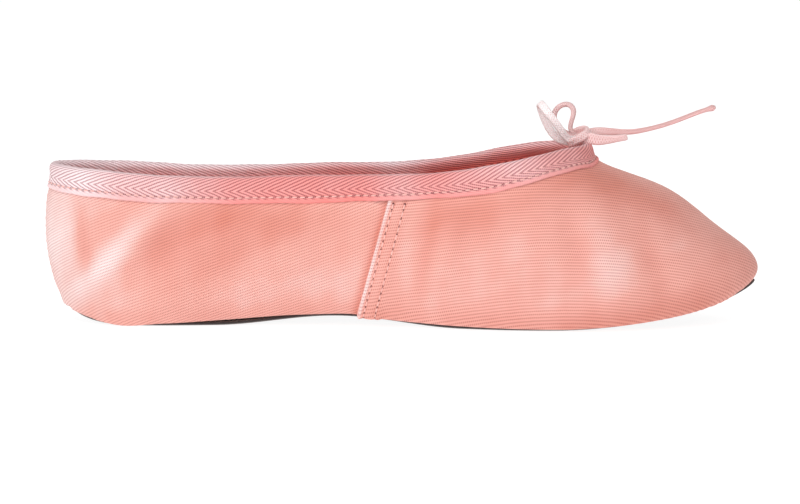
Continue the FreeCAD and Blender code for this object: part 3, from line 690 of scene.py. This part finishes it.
# Millimetres along the slipper from the heel, at mid height, for girth positions from 0 to 1.
GIRTH_U = np.linspace(0, 1, 801)
GIRTH_S = distances(on_last(GIRTH_U, np.full(GIRTH_U.shape, 3.5)))
QUARTER_SLANT = 0.36         # rise of the quarter's ribs to the toe, per millimetre


def twill_of_quarter(u, p):
    """Ribs climb to the toe at about twenty degrees, mirrored on the other side."""
    along = np.interp(from_heel(u), GIRTH_U, GIRTH_S)
    return np.stack([along + QUARTER_SLANT * p[..., 2], p[..., 2] - QUARTER_SLANT * along], -1)


# -------------------------------------------------------- the upper's plies
def cloth_top(u):
    return level_below_rim(u, CLOTH_TOP)


# Distances from the vamp's folded edge at which its mesh has a column, in millimetres.
EDGE_COLUMNS = np.array([0.0, 0.04, 0.12, 0.25, 0.45, 0.75, 1.1, 1.5, 1.9, 2.2, 2.5, 2.9, 3.4, 4.0, 4.6,
                         5.2, 5.7, 6.0, 6.3, 6.8, 7.4, 8.0, 8.7, 9.5, 10.5, 11.5])


def vamp_columns(w, shift, count):
    """Girth positions of the vamp's columns, and their distance from the nearer folded edge."""
    near = np.stack([seam_u(w[k], shift + e) for k, e in enumerate(EDGE_COLUMNS)])
    share = np.linspace(0, 1, count)[1:]
    middle = near[-1][None] + (0.5 - near[-1][None]) * share[:, None]
    half = np.concatenate([near, middle])
    edge = np.concatenate([EDGE_COLUMNS, EDGE_COLUMNS[-1] + 140 * share])
    u = np.concatenate([half, 1 - half[-2::-1]])
    edge = np.concatenate([edge, edge[-2::-1]])
    return u, np.broadcast_to(edge[:, None], u.shape)


def vamp_grid(shift, count=150, steps=78):
    """Girth positions, levels and distances from the folded edge, from side seam to side seam."""
    columns = 2 * (len(EDGE_COLUMNS) + count - 1) - 1
    share = np.linspace(0, 1, steps)
    w = np.broadcast_to(BINDING_LINE * share, (columns, steps)).copy()
    for _ in range(2):
        u, edge = vamp_columns(w[: len(EDGE_COLUMNS)], shift, count)
        w = cloth_top(u) * share
    return u, w, edge


def seam_relief(w, edge):
    """Stitch rows pressed into the folded edge, with small puckers between the stitches."""
    pucker = stitch_wave(w * LEVEL_HEIGHT)
    sewn = sum(groove(edge, row, 0.55) for row in SEAM_ROWS) * (0.75 + 0.25 * pucker)
    return -0.22 * sewn + 0.10 * groove(edge, sum(SEAM_ROWS) / 2, 1.2) + 0.05 * pucker * hill(edge / 2)


def make_vamp():
    u, w, edge = vamp_grid(0.0)
    p, out = surface(u, w)
    p = p + over_the_edge(p, w)
    lift = relief(u, w, p)
    open_wall = 1 - smooth((w - 5.6) / 0.3)
    fold = 0.5 * (1 - smooth((edge - 7.0) / 1.6)) * open_wall
    roll = 0.30 * groove(edge, 0.75, 0.55) * open_wall
    thick = (CANVAS + fold) * rounded(edge, 0.7) + roll + seam_relief(w, edge)
    rim = rounded((w[:, -1:] - w) * LEVEL_HEIGHT, 0.5)
    outer = p + out * (lift + GAP + thick * np.maximum(rim, 0.2))[..., None]
    inner = p + out * (lift + GAP)[..., None]
    first_row, second_row = SEAM_ROWS
    # Painted highlight along the vamp's folded edge and painted shade in its two stitch rows, over the
    # canvas's painted light and shade.
    tone = tone_with_painted_light(p) + 0.34 * groove(edge, 0.7, 0.7)
    tone = tone - 0.12 * groove(edge, first_row, 0.7) - 0.10 * groove(edge, second_row, 0.8)
    obj = shell("vamp_canvas", outer, inner, twill_of_vamp(p), tone)
    return finish_piece(obj, "slipper", CANVAS_CLOTH, "canvas", "vamp")


HAND = {1: "right", -1: "left"}
BACK_SEAM_U = 0.03 * PER_MM
BACK_ROW = 1.6               # from the back seam to its stitches


def quarter_grid(steps=78, count=118):
    """Girth positions and levels of the right quarter, from the back seam to its edge under the vamp."""
    shares = np.concatenate([[0, 0.0006, 0.002, 0.0045, 0.008, 0.013], np.linspace(0.02, 1, count)])
    share = np.linspace(0, 1, steps)
    w = np.broadcast_to(BINDING_LINE * share, (len(shares), steps)).copy()
    for _ in range(3):
        last = seam_u(w[-1], SEAM_LAP)
        u = BACK_SEAM_U + (last - BACK_SEAM_U)[None] * shares[:, None]
        w = cloth_top(u) * share
    return u, w


def make_quarter(side):
    u, w = quarter_grid()
    p, out = surface(u, w)
    p = p + over_the_edge(p, w)
    flip = mirror(side)
    from_back = (u - BACK_SEAM_U) / PER_MM
    row = groove(from_back, BACK_ROW, 0.5) * (0.8 + 0.2 * stitch_wave(w * LEVEL_HEIGHT))
    sewn = -0.35 * (1 - rounded(from_back, 0.7)) - 0.16 * row
    lift = relief(u, w, p, side)
    outer = p + out * (lift + sewn)[..., None]
    inner = p + out * (lift - CANVAS)[..., None]
    # Painted shadow on the quarter just behind the vamp's raised edge; paler beside the back seam.
    behind_seam = (seam_u(w) - u) / PER_MM
    tone = tone_with_painted_light(p * flip) - 0.32 * groove(behind_seam, 0.3, 1.2) + 0.2 * groove(from_back, 0.5, 0.8)
    obj = shell(f"quarter_{HAND[side]}_canvas", outer * flip, inner * flip, twill_of_quarter(u, p), tone)
    return finish_piece(obj, "slipper", CANVAS_CLOTH, "canvas", f"quarter_{HAND[side]}")


def lining_map(u, w):
    return np.stack([np.interp(np.mod(u, 1.0), GIRTH_U, GIRTH_S), w * 9.5], -1)


def above_the_sole(w):
    """0 at the sole and 1 up the wall: the linings are flat underfoot."""
    return smooth(w - SOLE_LEVEL)


def lining_dents(p):
    return np.minimum(0.08 * waves(p, 9.0, 21), 0.0)


def make_vamp_lining():
    u, w, edge = vamp_grid(SEAM_LAP + 0.3, 110, 56)
    p, out = surface(u, w)
    lift = relief(u, w, p) * above_the_sole(w)
    outer = p + out * lift[..., None]
    thick = LINING * (0.35 + 0.65 * rounded(edge, 0.5))
    inner = p + out * (lift - thick + lining_dents(p))[..., None]
    obj = shell("vamp_lining_cotton", outer, inner, lining_map(u, w))
    return finish_piece(obj, "slipper", LINING_CLOTH, "lining", "vamp_lining")


def make_quarter_lining(side):
    u, w = quarter_grid(56, 90)
    p, out = surface(u, w)
    flip = mirror(side)
    lift = relief(u, w, p, side) * above_the_sole(w) - CANVAS - GAP
    outer = p + out * lift[..., None]
    inner = p + out * (lift - LINING + lining_dents(p * flip))[..., None]
    obj = shell(f"quarter_lining_{HAND[side]}_cotton", outer * flip, inner * flip, lining_map(u, w))
    return finish_piece(obj, "slipper", LINING_CLOTH, "lining", f"quarter_lining_{HAND[side]}")


def make_heel_tape():
    """A strip of tape over the back seam, inside."""
    half, rows = 5.0, 60
    across = np.linspace(-half, half, 25)[:, None]
    u = np.broadcast_to(across * PER_MM, (len(across), rows)).copy()
    top = level_below_rim(u[:, 0], BACK_FLAP + 0.6)
    w = 2.0 + (top[:, None] - 2.0) * np.linspace(0, 1, rows)
    p, out = surface(u, w)
    lift = relief(np.mod(u, 1.0), w, p) * above_the_sole(w) - CANVAS - LINING - 2 * GAP
    edge = half - np.abs(across)
    thick = 0.4 * (0.4 + 0.6 * rounded(edge, 0.5)) - 0.1 * groove(edge, 1.2, 0.4)
    outer, inner = p + out * lift[..., None], p + out * (lift - thick)[..., None]
    uv = np.stack([w * LEVEL_HEIGHT, np.broadcast_to(across + half, w.shape)], -1)
    obj = shell("heel_seam_tape_strip", outer, inner, uv, np.full(w.shape, 0.4))
    return finish_piece(obj, "slipper", TAPE_CLOTH, "tape", "heel_seam_tape")


# -------------------------------------------------------- the binding and its drawstring


RIM_U = np.linspace(-0.5, 0.5, 1601)
RIM_S = distances(on_last(RIM_U, np.full(RIM_U.shape, RIM)))


def throat_margin():
    """Girth share by which each end of the tape stops short of the middle of the throat."""
    close = np.linalg.norm(on_last(0.504, RIM) - on_last(0.496, RIM))
    return THROAT_GAP * 0.008 / float(close)


def binding_lift(u, down, flap):
    """How far the tape's inner side stands off the last on a flap, as it nears the casing."""
    open_up = smooth(1 - down / 5.0) ** 2
    base = flap(u) + TAPE_GAP
    return base + (BORE - base) * open_up


def binding_waviness(s, down, row):
    """The tape's uneven edge, its puckers between stitches and the pressed stitch line."""
    slow = 0.08 * np.sin(s / 7.3) + 0.06 * np.sin(s / 3.1 + 1.0) + 0.05 * np.sin(s / 17.0 + 0.4)
    pucker = stitch_wave(s)
    sewn = groove(down, row, 0.5) * (0.8 + 0.2 * pucker)
    return slow * smooth((down - 2.0) / 5.0) + 0.09 * pucker * groove(down, 4.0, 1.6) - 0.28 * sewn


def binding_edge(s):
    """How far the tape's lower edge wanders up and down."""
    return 0.22 * np.sin(s / 9.7 + 2.0) + 0.14 * np.sin(s / 4.3) + 0.07 * np.sin(s / 1.9 + 0.7)


def binding_rows(u, s, lift, edge_round):
    """Points of one face of the folded tape, from its outer lower edge over the casing to its inner one."""
    points, across = [], []
    rim_level = np.full(u.shape, RIM)
    rim, (out_rim, up_rim) = on_last(u, rim_level), directions(u, rim_level)
    roll = 0.07 * np.sin(s / 5.1) + 0.05 * np.sin(s / 2.3 + 1.0)
    drop = binding_drop(u)
    over_casing = CASING_R * math.pi / 2
    flap_rows = np.concatenate([[0, 0.06, 0.16, 0.32], np.linspace(0.6, BINDING_DROP, 20)[:-1]])
    for up_from_edge in flap_rows:
        down = (drop + binding_edge(s)) * (1 - up_from_edge / BINDING_DROP)
        rise = rounded(np.full(u.shape, up_from_edge), 0.32) if edge_round else 1.0
        d = binding_lift(u, down, outer_face) + binding_waviness(s, down, drop - BINDING_ROW) + lift * rise
        points.append(off_last(u, level_below_rim(u, down), d))
        across.append(BINDING_DROP - up_from_edge + over_casing)
    for turn in np.linspace(0, math.pi, 17):
        r = (BORE + lift + roll)[:, None]
        points.append(rim + out_rim * r * math.cos(turn) + up_rim * r * math.sin(turn))
        across.append(CASING_R * abs(turn - math.pi / 2))
    for down in np.concatenate([np.linspace(0, BACK_FLAP - 0.5, 14)[1:], [BACK_FLAP - 0.2, BACK_FLAP]]):
        d = binding_lift(u, down, inner_face) + 0.4 * binding_waviness(s + 4.0, down, 5.0) + lift
        points.append(off_last(u, level_below_rim(u, np.full(u.shape, down)), -d))
        across.append(down + over_casing)
    return np.stack(points, 1), np.array(across)


def make_binding():
    margin = throat_margin()
    u = np.linspace(-0.5 + margin, 0.5 - margin, 860)
    s = np.interp(u, RIM_U, RIM_S)
    outer, across = binding_rows(u, s, TAPE, True)
    inner, _ = binding_rows(u, s, 0.0, False)
    grid = outer.shape[:2]
    uv = np.stack([np.broadcast_to(s[:, None], grid), np.broadcast_to(across, grid)], -1)
    row = np.arange(grid[1]) / grid[1]          # 0 at the outer edge, a half at the casing, 1 inside
    girth = np.abs(u)[:, None]
    # Painted light and shade on the tape: a painted highlight round the heel, paler just inside the rim and
    # painted shade deeper down the inner flap; also paler in a narrow band a quarter of the way round and
    # on the outside towards the throat.
    tone = 0.24 + 0.72 * hill(girth / 0.13) + 0.26 * groove(girth, 0.25, 0.02)
    tone = tone + 0.08 * waves(outer, 24.0, 33)
    tone = tone + 0.34 * groove(girth, 0.355, 0.07) * (1 - smooth((row - 0.5) / 0.06))
    tone = tone + 0.18 * smooth((row - 0.56) / 0.06) - 0.42 * smooth((row - 0.70) / 0.16)
    obj = shell("binding_tape", outer, inner, uv, tone)
    return finish_piece(obj, "slipper", TAPE_CLOTH, "tape", "binding")


# -------------------------------------------------------- the layers under the foot
def closed_line(points, count):
    """A smooth closed line through the points, with that many points at even steps of its parameter."""
    points = np.array(points, float)
    along = distances(np.vstack([points, points[:1]]))
    flat = np.column_stack([points, np.zeros(len(points))])
    return closed_cubic(along[:-1] / along[-1], flat)(np.arange(count) / count)[:, :2]


def inset_line(line, inset):
    along = unit(np.roll(line, -1, 0) - np.roll(line, 1, 0))
    return line + np.stack([-along[:, 1], along[:, 0]], 1) * inset


def slab(name, line, rings_below, rings_above):
    """A closed slab over a plan outline. Each ring is an inset from the outline and a height over the
    sole's lower face; beyond the last ring on each side the face runs in to the middle line."""
    def fill(rings):
        made = [(inset_line(line, inset), height) for inset, height in rings]
        rim, height = made[-1]
        inner_end = (line[:, 0].min() + 12, line[:, 0].max() - 12)
        middle = np.stack([np.clip(rim[:, 0], *inner_end), np.zeros(len(rim))], 1)
        return made + [(rim + (middle - rim) * t, height) for t in np.linspace(0, 1, 13)[1:]]

    rings = fill(rings_below)[::-1] + fill(rings_above)
    count = len(line)
    points = np.concatenate([np.column_stack([xy, sole_height(xy[:, 0] + MIDDLE) + height])
                             for xy, height in rings])
    i = np.arange(count)
    j = (i + 1) % count
    band = np.stack([i, j, count + j, count + i], 1)
    faces = np.concatenate([band + k * count for k in range(len(rings) - 1)])
    obj = mesh_object(name, points, faces, points[:, :2])
    clean(obj)
    return obj


def clean(obj, merge=True):
    """Merges doubled points, drops faces without area and turns all faces outward."""
    work = bmesh.new()
    work.from_mesh(obj.data)
    if merge:
        bmesh.ops.remove_doubles(work, verts=work.verts, dist=2e-6)
        bmesh.ops.dissolve_degenerate(work, dist=1e-6, edges=work.edges)
    bmesh.ops.recalc_face_normals(work, faces=work.faces)
    work.to_mesh(obj.data)
    work.free()


def sole_line():
    right = [(x - MIDDLE, -y) for x, y in tucked_outline()]
    return closed_line(right + [(x, -y) for x, y in right[-2:0:-1]], 900)


def make_outsole():
    inset, width, depth = CHANNEL
    inner = inset + width
    below = [(0.0, 0.66), (0.08, 0.55), (0.5, 0.34), (1.0, 0.18), (1.6, 0.06), (2.1, 0.01),
             (inset - 0.1, 0.0), (inset + 0.05, 0.12), (inset + 0.15, depth), (inner - 0.15, depth),
             (inner - 0.05, 0.12), (inner + 0.1, 0.0), (5.0, 0.0)]
    above = [(0.0, 0.95), (0.08, SOLE - 0.10), (0.3, SOLE), (1.5, SOLE), (5.0, SOLE)]
    obj = slab("outsole_suede", sole_line(), below, above)
    return finish_piece(obj, "slipper", SUEDE, "suede", "outsole")


def line_inside(height, inset, count):
    """The plan line where the lining stands at that height over the sole's lower face, less the inset."""
    u = np.arange(count) / count

    def inner_wall(w):
        return off_last(u, w, -inner_face(u) - inset)

    def under(w):
        p = inner_wall(w)
        return p[:, 2] < sole_height(p[:, 0] + MIDDLE) + height

    return inner_wall(bisect(np.full(count, 0.6), np.full(count, 3.0), under))[:, :2]


def make_sock():
    bottom = BOARD_UP + BOARD + GAP
    above = [(0.0, bottom + 0.3), (0.15, bottom + SOCK - 0.1), (0.5, bottom + SOCK), (2.0, bottom + SOCK)]
    below = [(0.0, bottom + 0.2), (0.3, bottom), (2.0, bottom)]
    obj = slab("sock_lining_cloth", line_inside(BOARD_UP + BOARD, 0.35, 700), below, above)
    return finish_piece(obj, "slipper", SOCK_CLOTH, "sock", "sock_lining")


# -------------------------------------------------------- stitches
SIDES, RINGS = 7, 9          # of each thread's tube
LOOSE_END_U = 0.452          # where a thread of the binding has come loose
LOOSE_END = (-2.8, -0.9, -3.2)
SEAM_LEVELS = np.linspace(1.15, 5.95, 260)


def spaced_stitches(points, normals):
    """Ends and outward directions of the stitches along a line."""
    steps = distances(points)
    count = int((steps[-1] - STITCH_LENGTH) / STITCH_PITCH)
    margin = (steps[-1] - count * STITCH_PITCH - STITCH_LENGTH) / 2
    start = margin + STITCH_PITCH * np.arange(count + 1)

    def at(values, s):
        return np.stack([np.interp(s, steps, values[:, k]) for k in range(3)], 1)

    return at(points, start), at(points, start + STITCH_LENGTH), at(normals, start + STITCH_LENGTH / 2)


def thread_mesh(name, groups, radius, thread, hole, seed, hole_size):
    """All stitches of a seam as one mesh: each an arched thread that dives into a needle hole, a small dark
    dent that stands for the shade in the hole.
    """
    random = np.random.default_rng(seed)
    turns = np.arange(SIDES) * 2 * math.pi / SIDES
    cosine, sine = np.cos(turns)[:, None], np.sin(turns)[:, None]
    i = np.arange(SIDES)
    j = (i + 1) % SIDES
    walls = [tuple(quad) for k in range(RINGS - 1)
             for quad in np.stack([i, j, SIDES + j, SIDES + i], 1) + k * SIDES]
    tube = walls + [tuple(i)[::-1], tuple(i + (RINGS - 1) * SIDES)]
    disc = [face for a, b in zip(i, j) for face in ((a, b, SIDES), (b, a, SIDES + 1))]
    points, faces, kinds = [], [], []

    def add(new_points, pattern, kind):
        first = len(points)
        points.extend(new_points)
        faces.extend(tuple(first + k for k in face) for face in pattern)
        kinds.extend([kind] * len(pattern))

    for starts, ends, ups in groups:
        for a, b, n in zip(starts, ends, ups):
            along, n = b - a, unit(n)
            side = unit(np.cross(along, n))
            skew = random.uniform(-0.12, 0.12)
            thread_points = []
            for t in np.linspace(0, 1, RINGS):
                arch = -0.34 + 0.38 * math.sin(math.pi * t) ** 0.55
                r = radius * (0.72 + 0.28 * math.sin(math.pi * t))
                centre = a + along * t + n * (arch + radius * 0.35) + side * skew * (t - 0.5)
                thread_points.extend(centre + r * (cosine * n + sine * side))
            add(thread_points, tube, 0)
            # At each end a small disc dented into the cloth in the hole's material: painted shade in a
            # needle hole, suede on the sole.
            for place in (a - along * 0.03, b + along * 0.03):
                ring = place + hole_size * (cosine * side + 0.8 * sine * unit(along))
                add([*ring, place + n * 0.06, place - n * 0.2], disc, 1)
    obj = mesh_object(name, points, faces)
    obj.data.materials.append(thread)
    obj.data.materials.append(hole)
    obj.data.polygons.foreach_set("material_index", kinds)
    clean(obj, merge=False)
    return obj


def sew(name, groups, node, seed, radius=0.24, hole_size=0.40, thread=THREAD, hole=HOLE_SHADE):
    obj = thread_mesh(name, groups, radius, thread, hole, seed, hole_size)
    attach(obj, "slipper")
    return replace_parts(obj, node)


def side_seam_line(row, side):
    w = SEAM_LEVELS
    u = seam_u(w, row)
    p, out = surface(u, w)
    p = p + over_the_edge(p, w)
    height = relief(u, w, p, side) + GAP + CANVAS + 0.5 + seam_relief(w, np.full(w.shape, row))
    return (p + out * height[:, None]) * mirror(side), out * mirror(side)


def back_seam_line(side):
    w = SEAM_LEVELS
    u = np.full(w.shape, BACK_ROW * PER_MM)
    p, out = surface(u, w)
    height = relief(u, w, p, side) - 0.26
    return (p + out * height[:, None]) * mirror(side), out * mirror(side)


def make_side_seam(side):
    groups = [spaced_stitches(*side_seam_line(row, side)) for row in SEAM_ROWS]
    return sew(f"side_seam_thread_{HAND[side]}", groups, f"side_seam_stitches_{HAND[side]}", 11)


def make_heel_seam():
    groups = [spaced_stitches(*back_seam_line(side)) for side in (1, -1)]
    return sew("heel_seam_thread", groups, "heel_seam_stitches", 12)


def make_binding_seam():
    u = np.linspace(-0.497, 0.497, 2400)
    s = np.interp(u, RIM_U, RIM_S)
    row = binding_drop(u) - BINDING_ROW
    down = row + binding_edge(s) * row / BINDING_DROP
    d = binding_lift(u, down, outer_face) + TAPE + binding_waviness(s, down, row)
    points, out = off_last(u, level_below_rim(u, down), d), directions(u, RIM - 1 + 0 * u)[0]
    k = np.argmin(np.abs(u - LOOSE_END_U))
    loose = (points[k] + out[k] * 0.35)[None]
    tail = (loose, loose + np.array(LOOSE_END), out[k][None])
    return sew("binding_thread", [spaced_stitches(points, out), tail], "binding_stitches", 13, 0.22, 0.26)


def make_sole_seam():
    inset, width, depth = CHANNEL
    line = inset_line(sole_line(), inset + width / 2)
    line = np.roll(line, -np.argmax(line[:, 0]), 0)[14:-14]
    points = np.column_stack([line, sole_height(line[:, 0] + MIDDLE) + depth - 0.15])
    normals = np.broadcast_to(np.array([0.0, 0.0, -1.0]), points.shape)
    return sew("outsole_thread", [spaced_stitches(points, normals)], "outsole_stitches", 14, 0.22,
               thread=SOLE_THREAD, hole=SUEDE)


# -------------------------------------------------------- the bow
BRAID_W, BRAID_T = 2.7, 1.35
EXIT_NEAR, EXIT_FAR = (182.4, -0.8, 57.8), (182.4, 0.8, 57.8)
ROUTE_NEAR = ([EXIT_NEAR, (182.4, -1.0, 59.0), (181.0, -1.2, 60.2), (178.6, -1.6, 60.9)] + LOOP_NEAR
              + [(177.0, -1.4, 60.1), (180.0, -1.8, 60.7)] + TAIL_SHORT)
ROUTE_FAR = ([EXIT_FAR, (182.2, 1.0, 59.2), (180.8, 1.4, 60.6), (178.6, 1.8, 62.0)] + LOOP_FAR
             + [(177.6, 1.8, 61.6), (180.0, 1.2, 62.0)] + TAIL_LONG)
ROUTE_WRAP = [(176.2, -2.4, 59.3), (178.6, -3.9, 60.7), (181.2, -3.7, 62.3), (182.9, -1.4, 63.6),
              (182.0, 1.6, 64.1), (179.0, 3.2, 63.2), (176.7, 2.6, 61.2), (175.6, 0.2, 59.4)]

# Which way the flat braid's width points: a share of the route and a direction there.
WIDTH_NEAR = [(0.0, 1.0, 0.25, 0.0), (0.04, 1.0, 0.4, 0.0), (0.10, 0.4, 0.6, 0.6), (0.18, 0.75, 0.0, 0.65),
              (0.68, 0.78, 0.0, 0.62), (0.76, 0.2, -0.1, 1.0), (1.0, 0.0, -0.35, 1.0)]
WIDTH_FAR = [(0.0, 1.0, 0.25, 0.0), (0.04, 1.0, 0.4, 0.0), (0.10, 0.3, 1.0, 0.0), (0.44, 0.2, 1.0, 0.1),
             (0.52, 0.0, 0.5, 0.9), (0.62, 0.0, 0.7, 0.75), (0.74, 0.0, 1.0, 0.35), (1.0, 0.0, 1.0, 0.25)]


def smooth_line(route, name, closed=False):
    """Points in metres along the smooth line whose control points are the route's."""
    curve = bpy.data.curves.new(name, "CURVE")
    curve.dimensions = "3D"
    spline = curve.splines.new("NURBS")
    spline.points.add(len(route) - 1)
    for point, (x, y, z) in zip(spline.points, route):
        point.co = ((x - MIDDLE) * MM, y * MM, z * MM, 1)
    spline.order_u = 3
    spline.use_cyclic_u = closed
    spline.use_endpoint_u = not closed
    spline.resolution_u = 10
    holder = bpy.data.objects.new(name, curve)
    mesh = bpy.data.meshes.new_from_object(holder)
    line = np.array([v.co for v in mesh.vertices])
    bpy.data.objects.remove(holder)
    bpy.data.meshes.remove(mesh)
    bpy.data.curves.remove(curve)
    return line


def braid_sections(line, widths):
    """Distances along a line, and the directions of the flat braid's width and thickness there."""
    steps = distances(line)
    ahead = unit(np.gradient(line, axis=0))
    places, *aims = np.array(widths).T
    wide = np.stack([np.interp(steps / steps[-1], places, aim) for aim in aims], 1)
    wide = unit(wide - ahead * (wide * ahead).sum(1, keepdims=True))
    return steps, wide, np.cross(ahead, wide)


def braid_tube(name, line, steps, wide, thick, width, depth, tone, closed=False):
    """A flat tubular braid of that width, depth and tone, which may be arrays along the line."""
    around, rows = 20, len(line)
    turns = np.arange(around) * 2 * math.pi / around
    c = np.sign(np.cos(turns)) * np.abs(np.cos(turns)) ** 0.85
    s = np.sign(np.sin(turns)) * np.abs(np.sin(turns)) ** 0.75 * (1 - 0.28 * hill(c / 0.22))
    width, depth = (np.broadcast_to(v, steps.shape)[:, None, None] / 2 for v in (width, depth))
    points = line[:, None] / MM + wide[:, None] * width * c[None, :, None] \
        + thick[:, None] * depth * s[None, :, None]
    faces = []
    i = np.arange(around)
    j = (i + 1) % around
    for k in range(rows if closed else rows - 1):
        a, b = k * around, ((k + 1) % rows) * around
        faces += list(zip(a + i, a + j, b + j, b + i))
    if not closed:
        faces += [tuple(i)[::-1], tuple((rows - 1) * around + i)]
    across = np.arange(around) / around * 1.6 * (BRAID_W + BRAID_T)
    uv = np.stack([np.broadcast_to(steps[:, None] / MM, (rows, around)),
                   np.broadcast_to(across, (rows, around))], -1)
    tones = np.repeat(np.broadcast_to(np.asarray(tone, float), steps.shape), around)
    obj = mesh_object(name, points, faces, uv, tone=tones)
    clean(obj)
    return obj


def end_taper(steps, size, least):
    """1 along the cord, falling to the least over the last millimetres of that size."""
    return least + (1 - least) * rounded(steps[-1] - steps, size * MM)


def make_near_cord():
    line = smooth_line(ROUTE_NEAR, "route_near")
    steps, wide, thick = braid_sections(line, WIDTH_NEAR)
    share = steps / steps[-1]
    width = BRAID_W + 1.3 * hill((share - 0.82) / 0.07) - 0.3 * smooth((share - 0.88) / 0.1)
    # Painted light and shade on the cord: the near loop painted paler as if lit, the short tail deeper.
    tone = 1.12 - 0.56 * smooth((share - 0.66) / 0.08)
    obj = braid_tube("bow_cord_near", line, steps, wide, thick, width * end_taper(steps, 0.5, 0.75),
                     BRAID_T * end_taper(steps, 0.5, 0.5), tone)
    finish_piece(obj, "bow", CORD_CLOTH, "cord", "bow_loop_near", "bow_tail_short")
    return obj, line, steps[-1]


def make_far_cord():
    line = smooth_line(ROUTE_FAR, "route_far")
    steps, wide, thick = braid_sections(line, WIDTH_FAR)
    share = steps / steps[-1]
    slim = 1 - 0.22 * smooth((share - 0.55) / 0.1)
    tip = 1 + 0.45 * hill((share - 0.985) / 0.012)
    full = 1 + 0.4 * hill((share - 0.28) / 0.14)
    # The far cord painted deeper than the near one, as in shade, its long tail deeper still.
    tone = 0.50 - 0.16 * smooth((share - 0.5) / 0.1)
    obj = braid_tube("bow_cord_far", line, steps, wide, thick,
                     BRAID_W * slim * tip * end_taper(steps, 0.7, 0.6),
                     BRAID_T * full * tip * end_taper(steps, 0.7, 0.5), tone)
    finish_piece(obj, "bow", CORD_CLOTH, "cord", "bow_loop_far", "bow_tail_long")
    return obj, line, steps[-1]


def make_knot_wrap():
    """The turn of the cord round the knot."""
    line = smooth_line(ROUTE_WRAP, "route_wrap", closed=True)
    ahead = unit(np.roll(line, -1, 0) - np.roll(line, 1, 0))
    outward = line - line.mean(0)
    outward = unit(outward - ahead * (outward * ahead).sum(1, keepdims=True))
    obj = braid_tube("bow_knot_wrap", line, distances(line), np.cross(ahead, outward), outward,
                     BRAID_W * 1.05, BRAID_T * 1.1, 0.6, closed=True)
    return finish_piece(obj, "bow", CORD_CLOTH, "cord", "bow_knot")


def make_bow():
    near, near_line, near_long = make_near_cord()
    far, far_line, far_long = make_far_cord()
    wrap = make_knot_wrap()


# -------------------------------------------------------- stage
def aim(obj, place, target):
    obj.location = place
    obj.rotation_euler = (Vector(target) - Vector(place)).to_track_quat("-Z", "Y").to_euler()
    bpy.context.scene.collection.objects.link(obj)


def make_camera():
    data = bpy.data.cameras.new("camera")
    data.lens, data.sensor_width = 120.9, 36.0
    data.clip_start, data.clip_end = 0.01, 60.0
    camera = bpy.data.objects.new("camera", data)
    aim(camera, (-0.0005, -0.900, 0.132), (-0.0005, 0.0, 0.0225))
    bpy.context.scene.camera = camera


def area_light(name, place, target, size, power):
    data = bpy.data.lights.new(name, "AREA")
    data.shape = "RECTANGLE"
    data.size, data.size_y = size
    data.energy = power
    aim(bpy.data.objects.new(name, data), place, target)


def make_world():
    """Brighter round the horizon than overhead, so that the light comes mostly from the sides."""
    world = bpy.data.worlds.new("studio")
    world.use_nodes = True
    tree = world.node_tree
    place = tree.nodes.new("ShaderNodeTexCoord")
    split = tree.nodes.new("ShaderNodeSeparateXYZ")
    ramp = tree.nodes.new("ShaderNodeValToRGB")
    for stop, height, grey in zip(ramp.color_ramp.elements, (0.15, 0.9), (0.48, 0.26)):
        stop.position = height
        stop.color = (grey, grey, grey, 1)
    tree.links.new(place.outputs["Generated"], split.inputs[0])
    tree.links.new(split.outputs[2], ramp.inputs[0])
    tree.links.new(ramp.outputs[0], tree.nodes["Background"].inputs[0])
    bpy.context.scene.world = world


def make_stage():
    """Soft lights and a white floor, which glows a little so that it stays white to its far edge."""
    make_world()
    area_light("key", (-0.62, -0.90, 0.34), (0, 0, 0.03), (0.5, 0.35), 3.9)
    area_light("top", (-0.15, -0.50, 0.80), (0, 0, 0.04), (0.5, 0.4), 3.9)
    area_light("back", (0.25, 0.85, 0.45), (0, 0, 0.04), (0.6, 0.6), 1.6)
    area_light("fill", (0.9, -0.5, 0.3), (0, 0, 0.03), (0.6, 0.6), 1.0)
    far = 4000.0
    floor = mesh_object("floor", [(-far, -far, 0), (far, -far, 0), (far, far, 0), (-far, far, 0)],
                        [(0, 1, 2, 3)], smooth_shade=False)
    m = Nodes("floor_paint")
    m.shader.inputs["Emission Color"].default_value = (1, 1, 1, 1)
    m.shader.inputs["Emission Strength"].default_value = 0.90
    m.finish(m.blend(m.noise(3.0), (0.27, 0.27, 0.27), (0.30, 0.30, 0.30)), None, 0.0, 0.9, 0.0)
    floor.data.materials.append(m.material)


# -------------------------------------------------------- the whole slipper
def paint_hidden_layers():
    """The CAD parts that stay: board and filler pads under the sock, and the drawstring in its casing."""
    for node, material in (("insole_board", BOARD_FIBRE), ("forefoot_pad", FOAM_FELT),
                           ("heel_pad", FOAM_FELT), ("drawstring", CORD_PLAIN)):
        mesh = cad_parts[node].data
        mesh.materials.clear()
        mesh.materials.append(material)


make_camera()
make_bow()
make_vamp()
make_vamp_lining()
for hand in (1, -1):
    make_quarter(hand)
    make_quarter_lining(hand)
    make_side_seam(hand)
make_heel_tape()
make_heel_seam()
make_binding()
make_binding_seam()
make_outsole()
make_sole_seam()
make_sock()
paint_hidden_layers()
make_stage()

view = bpy.context.scene.view_settings
view.view_transform = "Standard"
view.look = "None"
